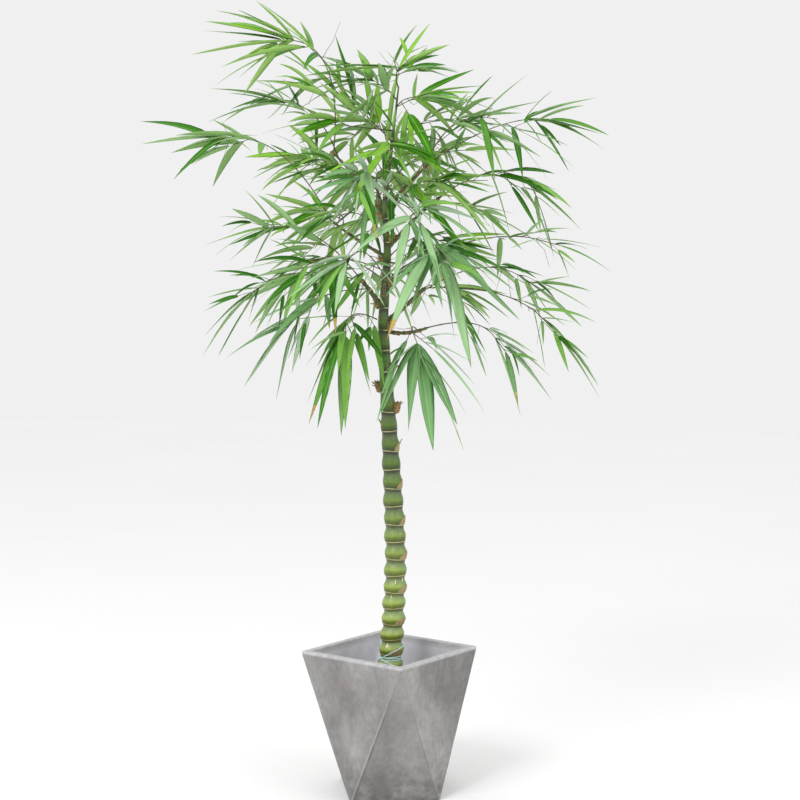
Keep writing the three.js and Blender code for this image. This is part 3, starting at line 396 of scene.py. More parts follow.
def strew_flakes(piece, material, sizes):
    """Geometry Nodes that lay small flat flakes over a piece, bend them and join them to it."""
    group = bpy.data.node_groups.new("strewn_flakes", "GeometryNodeTree")
    face = group.interface
    face.new_socket("Ground", in_out="INPUT", socket_type="NodeSocketGeometry")
    for label, kind in (("Flake length", "NodeSocketFloat"), ("Flakes per square metre", "NodeSocketFloat"),
                        ("Seed", "NodeSocketInt")):
        face.new_socket(label, in_out="INPUT", socket_type=kind)
    face.new_socket("Ground with flakes", in_out="OUTPUT", socket_type="NodeSocketGeometry")
    given = add_node(group, "NodeGroupInput")
    up = add_node(group, "ShaderNodeSeparateXYZ", links={
        "Vector": add_node(group, "GeometryNodeInputNormal").outputs[0]}).outputs["Z"]
    upward = add_node(group, "FunctionNodeCompare", {"operation": "GREATER_THAN"}, {"B": 0.4}, {"A": up})
    scattered = add_node(group, "GeometryNodeDistributePointsOnFaces", links={
        "Mesh": given.outputs["Ground"], "Selection": upward.outputs[0],
        "Density": given.outputs["Flakes per square metre"], "Seed": given.outputs["Seed"]})
    lump = add_node(group, "GeometryNodeMeshIcoSphere", values={"Subdivisions": 1}, links={
        "Radius": given.outputs["Flake length"]})
    flake = add_node(group, "GeometryNodeTransform", values={"Scale": (1.0, 0.55, 0.2)}, links={
        "Geometry": lump.outputs["Mesh"]})
    lean = add_node(group, "FunctionNodeRandomValue", {"data_type": "FLOAT_VECTOR"}, {
        0: (-0.5, -0.5, 0.0), 1: (0.5, 0.5, 6.28), "Seed": 11})
    grow = add_node(group, "FunctionNodeRandomValue", {"data_type": "FLOAT"}, {2: 0.45, 3: 1.25, "Seed": 12})
    laid = add_node(group, "GeometryNodeInstanceOnPoints", links={
        "Points": scattered.outputs["Points"], "Instance": flake.outputs[0],
        "Rotation": lean.outputs[0], "Scale": grow.outputs[1]})
    real = add_node(group, "GeometryNodeRealizeInstances", links={"Geometry": laid.outputs[0]})
    jolt = add_node(group, "ShaderNodeTexNoise", values={"Scale": 260.0})
    shift = add_node(group, "ShaderNodeVectorMath", {"operation": "MULTIPLY_ADD"}, {
        1: (0.004, 0.004, 0.002), 2: (-0.002, -0.002, -0.001)}, {0: jolt.outputs["Color"]})
    bent = add_node(group, "GeometryNodeSetPosition", links={
        "Geometry": real.outputs[0], "Offset": shift.outputs[0]})
    finished = add_node(group, "GeometryNodeSetMaterial", values={"Material": material}, links={
        "Geometry": bent.outputs[0]})
    joined = add_node(group, "GeometryNodeJoinGeometry")
    group.links.new(finished.outputs[0], joined.inputs[0])
    group.links.new(given.outputs["Ground"], joined.inputs[0])
    add_node(group, "NodeGroupOutput", links={0: joined.outputs[0]})
    modifier = piece.modifiers.new("flakes", "NODES")
    modifier.node_group = group
    for item in face.items_tree:
        if item.name in sizes:
            modifier[item.identifier] = sizes[item.name]
    graph = bpy.context.evaluated_depsgraph_get()
    mesh = bpy.data.meshes.new_from_object(piece.evaluated_get(graph))
    piece.modifiers.clear()
    piece.data = mesh


def grained_material(name, constants, tones, rough=None, depth_mm=0.0):
    """A material that one grain tones and a finer grain makes rough, to a depth in millimetres."""
    material, tree, shader = new_material(name, constants)
    tree.links.new(grain(tree, *tones), shader.inputs["Base Color"])
    if rough:
        add_relief(tree, shader, grain(tree, *rough), depth_mm)
    return material


# Moist bark mix: near-black brown crumbs about 3 mm across, and paler flakes with a woody streak.
crumbs = grained_material("moist_bark_mix", {"Roughness": 0.95}, (
    3.2, 5.0, (1, 1, 1), [(0.3, "#1c140e"), (0.55, "#3a2a1e"), (0.78, "#5d4632")]), (2.5, 5.0), 1.2)
bark_flake = grained_material("bark_flakes", {"Roughness": 0.9}, (
    9, 5.0, (1, 3, 1), [(0.25, "#2f2118"), (0.5, "#5b412d"), (0.75, "#8a6a4c")]), (1.5, 4.0), 0.5)

soil = make_soil([crumbs])
strew_flakes(soil, bark_flake, {"Flake length": 0.0062, "Flakes per square metre": 9000.0, "Seed": 4})
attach(soil, "root")
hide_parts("soil")


# The culm: one bamboo stem that swells above each ring and draws in under the next, as this kind
# does when it is grown in a pot. It is smooth and waxy, with a cream scar where each sheath fell.
CULM_FOOT = SOIL_CROWN - 8.0
CULM_TIP = 1560.0
FIRST_RING = 309.0
INTERNODE = 34.0
INTERNODE_GAIN = 0.72
LEADER_FOOT = 1290.0
LEADER_INTERNODE = 62.0
SWOLLEN_TOP = 900.0
SCALE_TOP = 850.0
CULM_SIDES = 44
# Stretches of the culm's height and how far apart its rows are in each.
CULM_ROWS = ((CULM_FOOT, 900, 1.7), (900, 1300, 2.6), (1300, CULM_TIP, 4.0))
# Each ring dips a little towards its bud.
RING_DIP = 1.3
# A scar stands up at a ring, over a narrow groove just under it. The marks for tone end at a height.
SCAR_HEIGHT = 0.7
SCAR_WIDTH = 1.2
GROOVE_UNDER = 3.2
GROOVE_SPREAD = 1.6
TONE_TOP = 1200.0
# Where in its joint, above the ring, the belly is widest, and where the waist above it is narrowest.
BELLY_SHARE = 0.36
WAIST_SHARE = 0.79
# Against height: how far the bellies stand out and how far the waists draw in.
WAISTS = [
    (309, 1.13, 0.89), (560, 1.08, 0.88), (700, 1.05, 0.9),
    (850, 1.0, 0.9), (1000, 1.0, 0.95), (1290, 1.0, 0.97),
]
BUD_SIDES = (-28.0, 152.0)
# The side in plan that faces the main lamp; the skin is painted lighter and yellower towards it, as painted
# light.
LAMP_SIDE = math.radians(-125.0)
# The radius of the bellies against height.
CULM_RADIUS = [
    (268, 25.4), (330, 24.2), (523, 23.0), (636, 21.6), (841, 17.6),
    (965, 13.7), (1062, 11.6), (1200, 8.4), (1300, 6.3), (1420, 3.9), (1560, 1.8),
]
# How far the culm leans to the right of the pot's axis, and away from the viewer, against height.
CULM_LEAN = [
    (268, 0, 0), (412, 9, -2), (523, 13, -3), (636, 9, -2), (841, -2, 3),
    (965, -10, 6), (1062, -13, 4), (1199, -5, 0), (1300, -10, 3), (1420, 4, 4), (1560, 20, 0),
]


def read_table(table, height, column):
    """A value of a table at a height, smooth from row to row."""
    last = len(table) - 1
    if height <= table[0][0]:
        return table[0][column]
    if height >= table[last][0]:
        return table[last][column]
    i = next(k for k, row in enumerate(table) if row[0] > height) - 1
    span = table[i + 1][0] - table[i][0]
    t = (height - table[i][0]) / span

    def slope(j):
        a = table[max(0, j - 1)]
        b = table[min(last, j + 1)]
        return (b[column] - a[column]) / (b[0] - a[0])

    values = (1 + 2 * t) * (1 - t) ** 2 * table[i][column] + t * t * (3 - 2 * t) * table[i + 1][column]
    slopes = t * (1 - t) ** 2 * slope(i) + t * t * (t - 1) * slope(i + 1)
    return values + slopes * span


def culm_at(z):
    return np.array([read_table(CULM_LEAN, z, 1), read_table(CULM_LEAN, z, 2), z])


def culm_radius(z):
    return read_table(CULM_RADIUS, z, 1)


rings = []
ring_height = FIRST_RING
while ring_height < CULM_TIP - 30:
    rings.append(ring_height)
    step_up = INTERNODE + INTERNODE_GAIN * (len(rings) - 1)
    ring_height += step_up if ring_height < LEADER_FOOT else LEADER_INTERNODE


def bud_side(k):
    return math.radians(BUD_SIDES[k % 2])


def joint_at(z, angle):
    """The joint that a point of the culm is in: its number, how far up it the point is, as a share,
    and the heights of the rings below and above."""
    k = max([-1] + [i for i, ring in enumerate(rings) if ring <= z + 4])
    for joint in (k, k - 1):
        low = rings[joint] if joint >= 0 else FIRST_RING - INTERNODE
        dip = RING_DIP * math.cos(angle - bud_side(joint + 1))
        if z >= low + dip or joint < 0:
            break
    high = rings[joint + 1] if joint + 1 < len(rings) else CULM_TIP + 20
    high_dip = RING_DIP * math.cos(angle - bud_side(joint + 2))
    share = (z - low - dip) / (high + high_dip - low - dip)
    return joint, min(max(share, 0.0), 1.0), low + dip, high + high_dip


def culm_surface(z, angle):
    """The culm's radius at a height and an angle in plan, how far up its joint that is, and how
    near a scar."""
    joint, share, low, high = joint_at(z, angle)
    past = share - 1 if share > WAIST_SHARE else share
    if past < BELLY_SHARE:
        swell = math.sin(math.pi / 2 * (past + 1 - WAIST_SHARE) / (BELLY_SHARE + 1 - WAIST_SHARE)) ** 1.3
    else:
        swell = math.cos(math.pi / 2 * (past - BELLY_SHARE) / (WAIST_SHARE - BELLY_SHARE)) ** 1.8
    drawn_in = read_table(WAISTS, z, 2)
    full = read_table(WAISTS, z, 1) + 0.02 * math.cos(angle - bud_side(joint)) * (z < SWOLLEN_TOP)
    radius = culm_radius(z) * (drawn_in + (full - drawn_in) * swell)
    scar = min(1.0, sum(math.exp(-(((z - ring) / SCAR_WIDTH) ** 2)) for ring in (low, high)))
    groove = sum(math.exp(-(((z - ring + GROOVE_UNDER) / GROOVE_SPREAD) ** 2)) for ring in (low, high))
    radius += (scar - 0.7 * min(groove, 1.0)) * min(SCAR_HEIGHT, 0.05 * culm_radius(z))
    return radius, share, scar


def spoke(angle, reach=1.0, height=0.0):
    """The point at an angle in plan, a reach from the pot's axis, and a height."""
    return np.array([reach * math.cos(angle), reach * math.sin(angle), height])


def on_culm(z, angle, lift=0.0):
    """The point of the culm's skin at a height and an angle in plan, lifted off it."""
    return culm_at(z) + spoke(angle, culm_surface(z, angle)[0] + lift)


def make_culm(materials):
    """One closed skin from just under the soil to the tip."""
    heights = [z for start, end, step in CULM_ROWS for z in np.arange(start, end, step)] + [CULM_TIP]
    points = []
    marks = {"joint": [], "scar": [], "tone": [], "lamp_facing": []}
    for z in heights:
        for k in range(CULM_SIDES):
            angle = 2 * math.pi * k / CULM_SIDES
            radius, share, scar = culm_surface(z, angle)
            points.append(culm_at(z) + spoke(angle, radius))
            marks["joint"].append(share)
            marks["scar"].append(scar)
            marks["tone"].append((z - CULM_FOOT) / (TONE_TOP - CULM_FOOT))
            # How much a point faces the main lamp, for the painted light and shade.
            marks["lamp_facing"].append(0.5 + 0.5 * math.cos(angle - LAMP_SIDE))
    return make_piece("culm_skin", [(points, tube(len(heights), CULM_SIDES), 0)], materials, marks)


# Waxy living bamboo skin: each joint runs from a dark line over its scar through a yellow-green
# belly to a grey bloom under the next scar. The belly is painted lighter, as a painted highlight,
# and the skin is painted darker under the belly, in the waist and just under each scar, as painted
# shade. The side that faces the main lamp is painted yellower and lighter and the other side
# darker, as painted light and shade. It is darker and greyer with height. Satin, finely scuffed.
skin, tree, shader = new_material("waxy_bamboo_skin", {
    "Roughness": 0.42, "Specular IOR Level": 0.5, "Coat Weight": 0.12, "Coat Roughness": 0.35})
joint, scar, tone, lamp_facing = marks_of(tree, "joint", "scar", "tone", "lamp_facing")
wander = add_node(tree, "ShaderNodeMath", {"operation": "MULTIPLY_ADD"}, {1: 0.14, 2: -0.07}, {
    0: grain(tree, 12, 4.0, (1, 1, 0.5))}).outputs[0]
place_in_joint = add_node(tree, "ShaderNodeMath", {"operation": "ADD"}, links={
    0: joint, 1: wander}).outputs[0]
# The joint's tones for the side that faces the main lamp, painted lit, for the other side, painted shaded,
# and for high up. In each, the lighter belly is a painted highlight, and the darker waist and the dark under
# each scar are painted shade.
painted_lit_side_tones, painted_shade_side_tones, high_tones = (
    add_node(tree, "ShaderNodeValToRGB", links={"Fac": place_in_joint}, stops=stops).outputs["Color"]
    for stops in (
        [(0.0, "#54531f"), (0.13, "#5f6814"), (0.25, "#738320"), (0.37, "#9aaf4e"), (0.5, "#94a958"),
         (0.63, "#869a5a"), (0.76, "#788a57"), (0.86, "#576233"), (0.96, "#65673d"), (1.0, "#46411c")],
        [(0.0, "#404d1e"), (0.13, "#445f14"), (0.25, "#4c701e"), (0.37, "#73924c"), (0.5, "#769455"),
         (0.63, "#6b8554"), (0.76, "#5f7550"), (0.86, "#414b27"), (0.96, "#4f5230"), (1.0, "#373518")],
        [(0.0, "#2a2810"), (0.14, "#34460c"), (0.25, "#425c14"), (0.37, "#546f22"), (0.6, "#536a34"),
         (0.77, "#4b5c38"), (0.87, "#2f371f"), (1.0, "#292612")]))
height_share = add_node(tree, "ShaderNodeMapRange", values={"From Min": 0.2, "From Max": 0.52}, links={
    "Value": tone}).outputs[0]
mottle = grain(tree, 6, 6.0, (1, 1, 0.3), [(0.3, 0.37), (0.7, 0.63)])
scuffs = grain(tree, 5.5, 2.0, (1, 1, 0.4), [(0.7, 0.0), (0.76, 0.6)])
scar_share = add_node(tree, "ShaderNodeValToRGB", links={"Fac": scar}, stops=[(0.45, 0.0), (0.8, 1.0)])
skin_colour = layered(tree, painted_shade_side_tones, [
    (lamp_facing, painted_lit_side_tones, "MIX"),
    (height_share, high_tones, "MIX"),
    (0.45, mottle, "OVERLAY"),
    (scuffs, "#d9c98d", "MIX"),
    (scar_share.outputs["Color"], "#c5bc88", "MIX")])
tree.links.new(skin_colour, shader.inputs["Base Color"])
add_relief(tree, shader, grain(tree, 2.2, 4.0, (1, 1, 0.12)), 0.12)

culm = make_culm([skin])
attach(culm, "root")
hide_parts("culm")


# Bud scales: a tan triangular scale over the shut bud on each lower ring, on alternate sides of the
# culm. It is dry and papery, wraps the belly and stands off it at its peak. A few small cream chips
# show where the skin has been knocked.
SCALE_COLUMNS = 22
SCALE_ROWS = 8
SCALE_PEAK = 0.6
SCALE_FOOT = 0.6
# Chips in the skin: height, side in plan, width in degrees, height of the chip.
CHIPS = (
    (327.0, -123.0, 17.0, 9.0), (470.0, -96.0, 6.0, 12.0),
    (474.0, -50.0, 7.0, 10.0), (438.0, -118.0, 5.0, 7.0),
)


def closed_sheet(columns, rows, place):
    """A thin closed body. place gives its front and its back point at two shares, across and up."""
    grid = [[place(j / columns, i / rows) for j in range(columns + 1)] for i in range(rows + 1)]
    points = [pair[side] for side in (0, 1) for row in grid for pair in row]
    width = columns + 1
    offset = width * (rows + 1)
    faces = []
    for i in range(rows):
        for j in range(columns):
            a = i * width + j
            faces.append((a, a + 1, a + width + 1, a + width))
            faces.append((offset + a, offset + a + width, offset + a + width + 1, offset + a + 1))
    rim = list(range(columns))
    rim += [i * width + columns for i in range(rows)]
    rim += [rows * width + columns - j for j in range(columns)]
    rim += [(rows - i) * width for i in range(rows)]
    for k, a in enumerate(rim):
        b = rim[(k + 1) % len(rim)]
        faces.append((b, a, offset + a, offset + b))
    return points, faces


def culm_patch(foot, tall, first, last, peak, lift, finish):
    """A closed triangular patch on the culm between two angles, whose peak may stand off the skin."""

    def place(across, up):
        edge = across / peak if across < peak else (1 - across) / (1 - peak)
        angle = first + (last - first) * across
        height = foot + (tall * edge**0.6 + 0.6) * up
        off = lift * (0.35 * up * edge + up * up * edge**3)
        return on_culm(height, angle, 0.45 + off), on_culm(height, angle, -0.4 + 0.8 * off)

    return *closed_sheet(SCALE_COLUMNS, SCALE_ROWS, place), finish


def bud_scale(k):
    """The scale on a ring: broad on the culm's right side, small and flat on its left."""
    foot = rings[k] + SCALE_FOOT
    tall = rings[k + 1] - rings[k]
    if k == 0:
        return culm_patch(foot, 0.5 * tall, math.radians(-108), math.radians(-42), SCALE_PEAK, 2.6, 0)
    if k % 2 == 0:
        first = math.radians(-96 + 26 * min(1.0, k / 8))
        return culm_patch(foot, 0.46 * tall, first, math.radians(8), SCALE_PEAK, 1.5, 0)
    return culm_patch(foot, 0.26 * tall, bud_side(k) - 0.5, bud_side(k) + 0.5, 0.5, 1.0, 0)


# Dry papery scale: straw brown, with fine upright ribs.
paper = grained_material("dry_papery_scale", {"Roughness": 0.7}, (
    3.0, 4.0, (1.6, 1.6, 0.25), [(0.25, "#77653f"), (0.5, "#9f8b60"), (0.75, "#bdab82")]),
    (1.6, 3.0, (1.6, 1.6, 0.2)), 0.3)

# Bare cream tissue in a chip, with a fibrous grain.
cream = grained_material("cream_chip", {"Roughness": 0.75}, (
    2.0, 3.0, (1.6, 1.6, 0.3), [(0.3, "#d3bf8a"), (0.7, "#f1e6c4")]))

scale_parts = [bud_scale(k) for k, z in enumerate(rings) if z < SCALE_TOP]
for foot, side, wide, tall in CHIPS:
    first, last = (math.radians(side + turn * wide / 2) for turn in (-1, 1))
    scale_parts.append(culm_patch(foot, tall, first, last, 0.55, 0.5, 1))
scales = make_piece("bud_scales", scale_parts, [paper, cream])
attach(scales, "root")
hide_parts("culm")


# Dry sheaths: two sheaths that still stand at their rings, curled out of thin brown paper.
# Each hugs the culm at its foot and its narrow point bends away.
# Each stands at a ring, on a side in plan, and has a length.
DRY_SHEATHS = ((13, 165.0, 27.0), (12, -14.0, 25.0))
SHEATH_COLUMNS = 8
SHEATH_ROWS = 12


def dry_sheath(ring, side_degrees, length):
    """A narrow sheath that leans away from the culm towards its point, its edges curled in."""
    side = math.radians(side_degrees)
    out = spoke(side)
    across = spoke(side + math.pi / 2)
    foot = on_culm(rings[ring] + 1.0, side, -1.0)

    def place(share, up):
        half = 9.0 * (1 - up) ** 0.6 + 0.3
        aside = 2 * share - 1
        curl = -3.4 * aside * aside * (1 - 0.6 * up)
        point = foot + np.array([0, 0, length * up]) + out * (8.5 * up**1.6 + curl) + across * half * aside
        return point + out * 0.35, point - out * 0.35

    return *closed_sheet(SHEATH_COLUMNS, SHEATH_ROWS, place), 0


sheaths = make_piece("dry_sheaths", [dry_sheath(*row) for row in DRY_SHEATHS], [paper])
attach(sheaths, "root")
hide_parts("culm")


# Branch stubs: above the plain joints each ring carries a brown woody knot with the short pegs of
# cut twigs on alternate sides.
STUB_SEED = 71
STUB_PEGS = 9
UP = np.array([0.0, 0.0, 1.0])


def draws(seed):
    """Even numbers between two limits, the same for the same seed, as the part's source draws them."""
    state = seed
    for _ in range(4):
        state = state * 48271 % 2147483647

    def draw(low, high):
        nonlocal state
        state = state * 48271 % 2147483647
        return low + (high - low) * (state / 2147483647)

    return draw


def unit(vector):
    return vector / np.linalg.norm(vector)


def limb_skin(path, radii, sides, finish=0):
    """A closed round skin along a path, with a radius at each of its points."""
    path = [np.asarray(p, dtype=float) for p in path]
    normal = None
    points = []
    for i, centre in enumerate(path):
        along = unit(path[min(i + 1, len(path) - 1)] - path[max(i - 1, 0)])
        if normal is None:
            normal = np.array([1.0, 0.0, 0.0]) if abs(along[2]) > 0.8 else UP
        normal = unit(normal - along * float(normal @ along))
        across = np.cross(along, normal)
        for k in range(sides):
            turn = 2 * math.pi * k / sides
            points.append(centre + radii[i] * (normal * math.cos(turn) + across * math.sin(turn)))
    return points, tube(len(path), sides), finish


def branch_stub(k, draw):
    """A lumpy knot against the culm, with short pegs round it, of cut twigs and of paper in turn."""
    z = rings[k]
    side = bud_side(k)
    size = 0.68 + culm_radius(z) / 30.0
    out = spoke(side)
    foot = on_culm(z + 2.0, side, -3.0)
    knot = foot + out * 5.5 * size + UP * 7.0 * size
    path = [foot - UP * 3, foot + out * 3 * size, knot, knot + UP * 6 * size, knot + UP * 9 * size + out]
    points, faces, _ = limb_skin(path, [2.5 * size, 6.4 * size, 7.4 * size, 5.6 * size, 1.2], 14)
    rough = [p + 2.6 * size * np.array(noise.noise_vector(Vector(p) / 5.0)) for p in points]
    parts = [(rough, faces, 0)]
    for peg in range(STUB_PEGS):
        fan = side + draw(-1.1, 1.1)
        aim = unit(spoke(fan, 1.0, draw(0.0, 1.6)))
        start = knot + aim * 4.0 * size
        length = draw(6.0, 13.0) * size
        thick = draw(1.0, 2.0)
        paper_peg = peg % 2
        path = [start, start + aim * length * 0.5, start + aim * length]
        parts.append(limb_skin(path, [thick * 1.3, thick, thick * 0.5], 7, paper_peg))
    return parts


# Weathered twig wood: brown with paler broken fibres, dull and rough.
knot_wood = grained_material("weathered_twig_wood", {"Roughness": 0.85}, (
    4.0, 5.0, (1, 1, 1), [(0.25, "#533f24"), (0.5, "#8a6c42"), (0.78, "#baa070")]), (1.8, 4.0), 0.6)

stub_draw = draws(STUB_SEED)
stub_parts = []
for k, z in enumerate(rings):
    if SCALE_TOP <= z <= LEADER_FOOT:
        stub_parts += branch_stub(k, stub_draw)
stubs = make_piece("branch_stubs", stub_parts, [knot_wood, paper])
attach(stubs, "root")
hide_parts("culm")


# The tie: a few turns of soft pale green plastic twine in the waist under the lowest ring. Each is
# three plies laid together; two of the turns lean and cross the others.
# Each turn: its height, how far it leans in degrees and towards which side, and how loose it is.
TIE_TURNS = (
    (297.0, 1.5, 20.0, 0.0), (300.2, -3.5, 60.0, 0.0), (303.0, 5.0, -40.0, 0.0),
    (312.0, 34.0, -20.0, 2.2), (291.0, -24.0, -10.0, 1.2),
)
TWINE_RADIUS = 1.35
TWINE_STEPS = 150
TWINE_SIDES = 12
TWINE_TWISTS = 26
TWINE_PLIES = 3


def twine_turn(height, lean, side_degrees, slack):
    """One closed turn whose section is three plies, twisted as it goes round."""
    high = math.radians(side_degrees)
    rise = math.tan(math.radians(lean)) * culm_radius(height)
    line = []
    for k in range(TWINE_STEPS):
        a = 2 * math.pi * k / TWINE_STEPS
        z = height + rise * math.cos(a - high)
        bulge = slack * (0.55 + 0.45 * math.cos(2 * a))
        line.append(on_culm(z, a, 0.15 + TWINE_RADIUS + bulge))
    points = []
    for k, centre in enumerate(line):
        along = unit(line[(k + 1) % TWINE_STEPS] - line[k - 1])
        out = unit(np.cross(along, UP))
        above = np.cross(out, along)
        twist = 2 * math.pi * TWINE_TWISTS * k / TWINE_STEPS
        for s in range(TWINE_SIDES):
            turn = 2 * math.pi * s / TWINE_SIDES
            radius = TWINE_RADIUS * (0.86 + 0.16 * math.cos(TWINE_PLIES * turn - twist))
            points.append(centre + radius * (out * math.cos(turn) + above * math.sin(turn)))
    faces = [(a, d, c, b) for a, b, c, d in tube(TWINE_STEPS, TWINE_SIDES, around=True)]
    return points, faces, 0


# Soft plastic twine: pale sea green, painted nearly white in patches as a painted highlight where its fibres
# catch the light, half glossy.
twine = grained_material("soft_plastic_twine", {"Roughness": 0.45}, (
    2.0, 3.0, (1, 1, 2), [(0.3, "#9fd0c2"), (0.55, "#c8e6dd"), (0.75, "#e8f5f0")]), (0.8, 3.0), 0.15)

tie = make_piece("twine_tie", [twine_turn(*row) for row in TIE_TURNS], [twine])
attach(tie, "root")
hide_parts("tie")


# Main boughs: thin bamboo branches, each with swollen joints of its own and a papery collar at
# every joint. They leave the culm at or a little way from a ring and end where their foliage begins.
BOUGHS = (
    # name, height on the culm, direction in plan, reach, height of the tip, radii, rise of the bow
    ("bough_left_low", 1073, 172, 68, 1147, 4.6, 3.4, 6),
    ("bough_left_middle", 1190, 174, 128, 1270, 3.0, 2.0, -8),
    ("bough_left_high", 1279, 176, 122, 1416, 3.0, 2.0, 12),
    ("bough_right_lowest", 1029, -22, 84, 1036, 3.4, 2.6, -16),
    ("bough_right_low", 1046, 4, 76, 1122, 4.0, 3.0, -10),
    ("bough_right_middle", 1131, -16, 62, 1184, 3.8, 3.0, 8),
    ("bough_right_upper", 1207, -4, 112, 1322, 3.4, 2.3, 14),
    ("bough_right_high", 1293, 12, 104, 1404, 2.9, 2.0, 10),
    ("bough_front_low", 1090, -104, 88, 1150, 3.6, 2.6, 8),
    ("bough_front_high", 1240, -86, 84, 1318, 3.2, 2.3, 10),
    ("bough_back_low", 1112, 84, 96, 1170, 3.8, 2.7, 8),
    ("bough_back_high", 1254, 100, 104, 1350, 3.2, 2.2, 12),
)
BOUGH_JOINT = 24.0
BOUGH_SIDES = 14
# How much a limb swells at its joints, and over what share of their spacing.
NODE_SWELL = 0.32
NODE_SHARE = 0.09
COLLAR_SIDES = 10
COLLAR_SEED = 311


def bezier(a, b, c, t):
    return a * (1 - t) ** 2 + b * (2 * t * (1 - t)) + c * (t * t)


def noded(distance, radius, spacing):
    """The radius of a small bamboo limb along its length: full at each joint and waisted between."""
    share = (distance % spacing) / spacing
    near = math.exp(-((share / NODE_SHARE) ** 2)) + math.exp(-(((1 - share) / NODE_SHARE) ** 2))
    return radius * (1.0 + NODE_SWELL * near)


def collar(centre, along, radius, length, draw):
    """A papery collar: a short cone that opens along the limb, its lip torn uneven."""
    side, rise = frame_of(along)
    layers = ((-1.0, 0.2), (length * 0.5, 0.75), (length, 1.5), (length - 0.4, 1.1), (0.0, 0.05))
    points = []
    for layer, (step, wide) in enumerate(layers):
        for k in range(COLLAR_SIDES):
            turn = 2 * math.pi * k / COLLAR_SIDES
            torn = draw(-0.22, 0.22) * length if layer == 2 else 0.0
            aside = side * math.cos(turn) + rise * math.sin(turn)
            points.append(centre + along * (step + torn) + aside * (radius + wide))
    return points, tube(len(layers), COLLAR_SIDES, around=True), 1


def frame_of(direction):
    """Two unit vectors square to a direction: level across it, and the one that rises."""
    level = np.cross(UP, direction)
    if np.linalg.norm(level) < 0.05:
        level = np.array([1.0, 0.0, 0.0])
    level = unit(level)
    return level, np.cross(direction, level)


def make_bough(row, draw):
    """A bough's middle line, as a function, and its parts: the limb and a collar at each joint."""
    _, z, azimuth, reach, height, thick, thin, bow = row
    start = culm_at(z)
    tip = spoke(math.radians(azimuth), reach, height)
    bend = (start + tip) / 2 + UP * bow
    length = float(np.linalg.norm(tip - start))
    first = (culm_radius(z) - 1.5) / length
    steps = max(24, int(length / 2.2))

    def curve(t):
        return bezier(start, bend, tip, t)

    def girth(t):
        return (thick + (thin - thick) * t) * (1.35 - 0.25 * t)

    shares = [first + (1 - first) * i / steps for i in range(steps + 1)]
    radii = [noded(t * length, girth(t), BOUGH_JOINT) for t in shares]
    radii[-1] *= 0.8
    parts = [limb_skin([curve(t) for t in shares], radii, BOUGH_SIDES)]
    for k in range(1, int(length / BOUGH_JOINT) + 1):
        t = k * BOUGH_JOINT / length
        if first + 0.05 < t < 0.97:
            along = unit(curve(min(1, t + 0.02)) - curve(t - 0.02))
            parts.append(collar(curve(t), along, girth(t), draw(7.0, 14.0), draw))
    return curve, parts


# Olive branch skin, darker in patches, and the torn brown paper of its collars.
branch = grained_material("olive_branch_skin", {"Roughness": 0.6}, (
    14, 5.0, (1, 1, 1), [(0.28, "#31331c"), (0.5, "#4f5630"), (0.75, "#6f7d48")]), (2.0, 4.0), 0.25)
collar_paper = grained_material("torn_brown_sheath", {"Roughness": 0.8}, (
    4.0, 4.0, (1, 1, 1), [(0.28, "#4f3f2a"), (0.52, "#7d6849"), (0.78, "#a8926c")]), (1.6, 3.0), 0.3)

limb_curves = {"culm": culm_at}
collar_draw = draws(COLLAR_SEED)
bough_parts = []
for row in BOUGHS:
    limb_curves[row[0]], parts = make_bough(row, collar_draw)
    bough_parts += parts
boughs = make_piece("main_boughs", bough_parts, [branch, collar_paper])
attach(boughs, "root")
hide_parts(*[row[0] for row in BOUGHS])


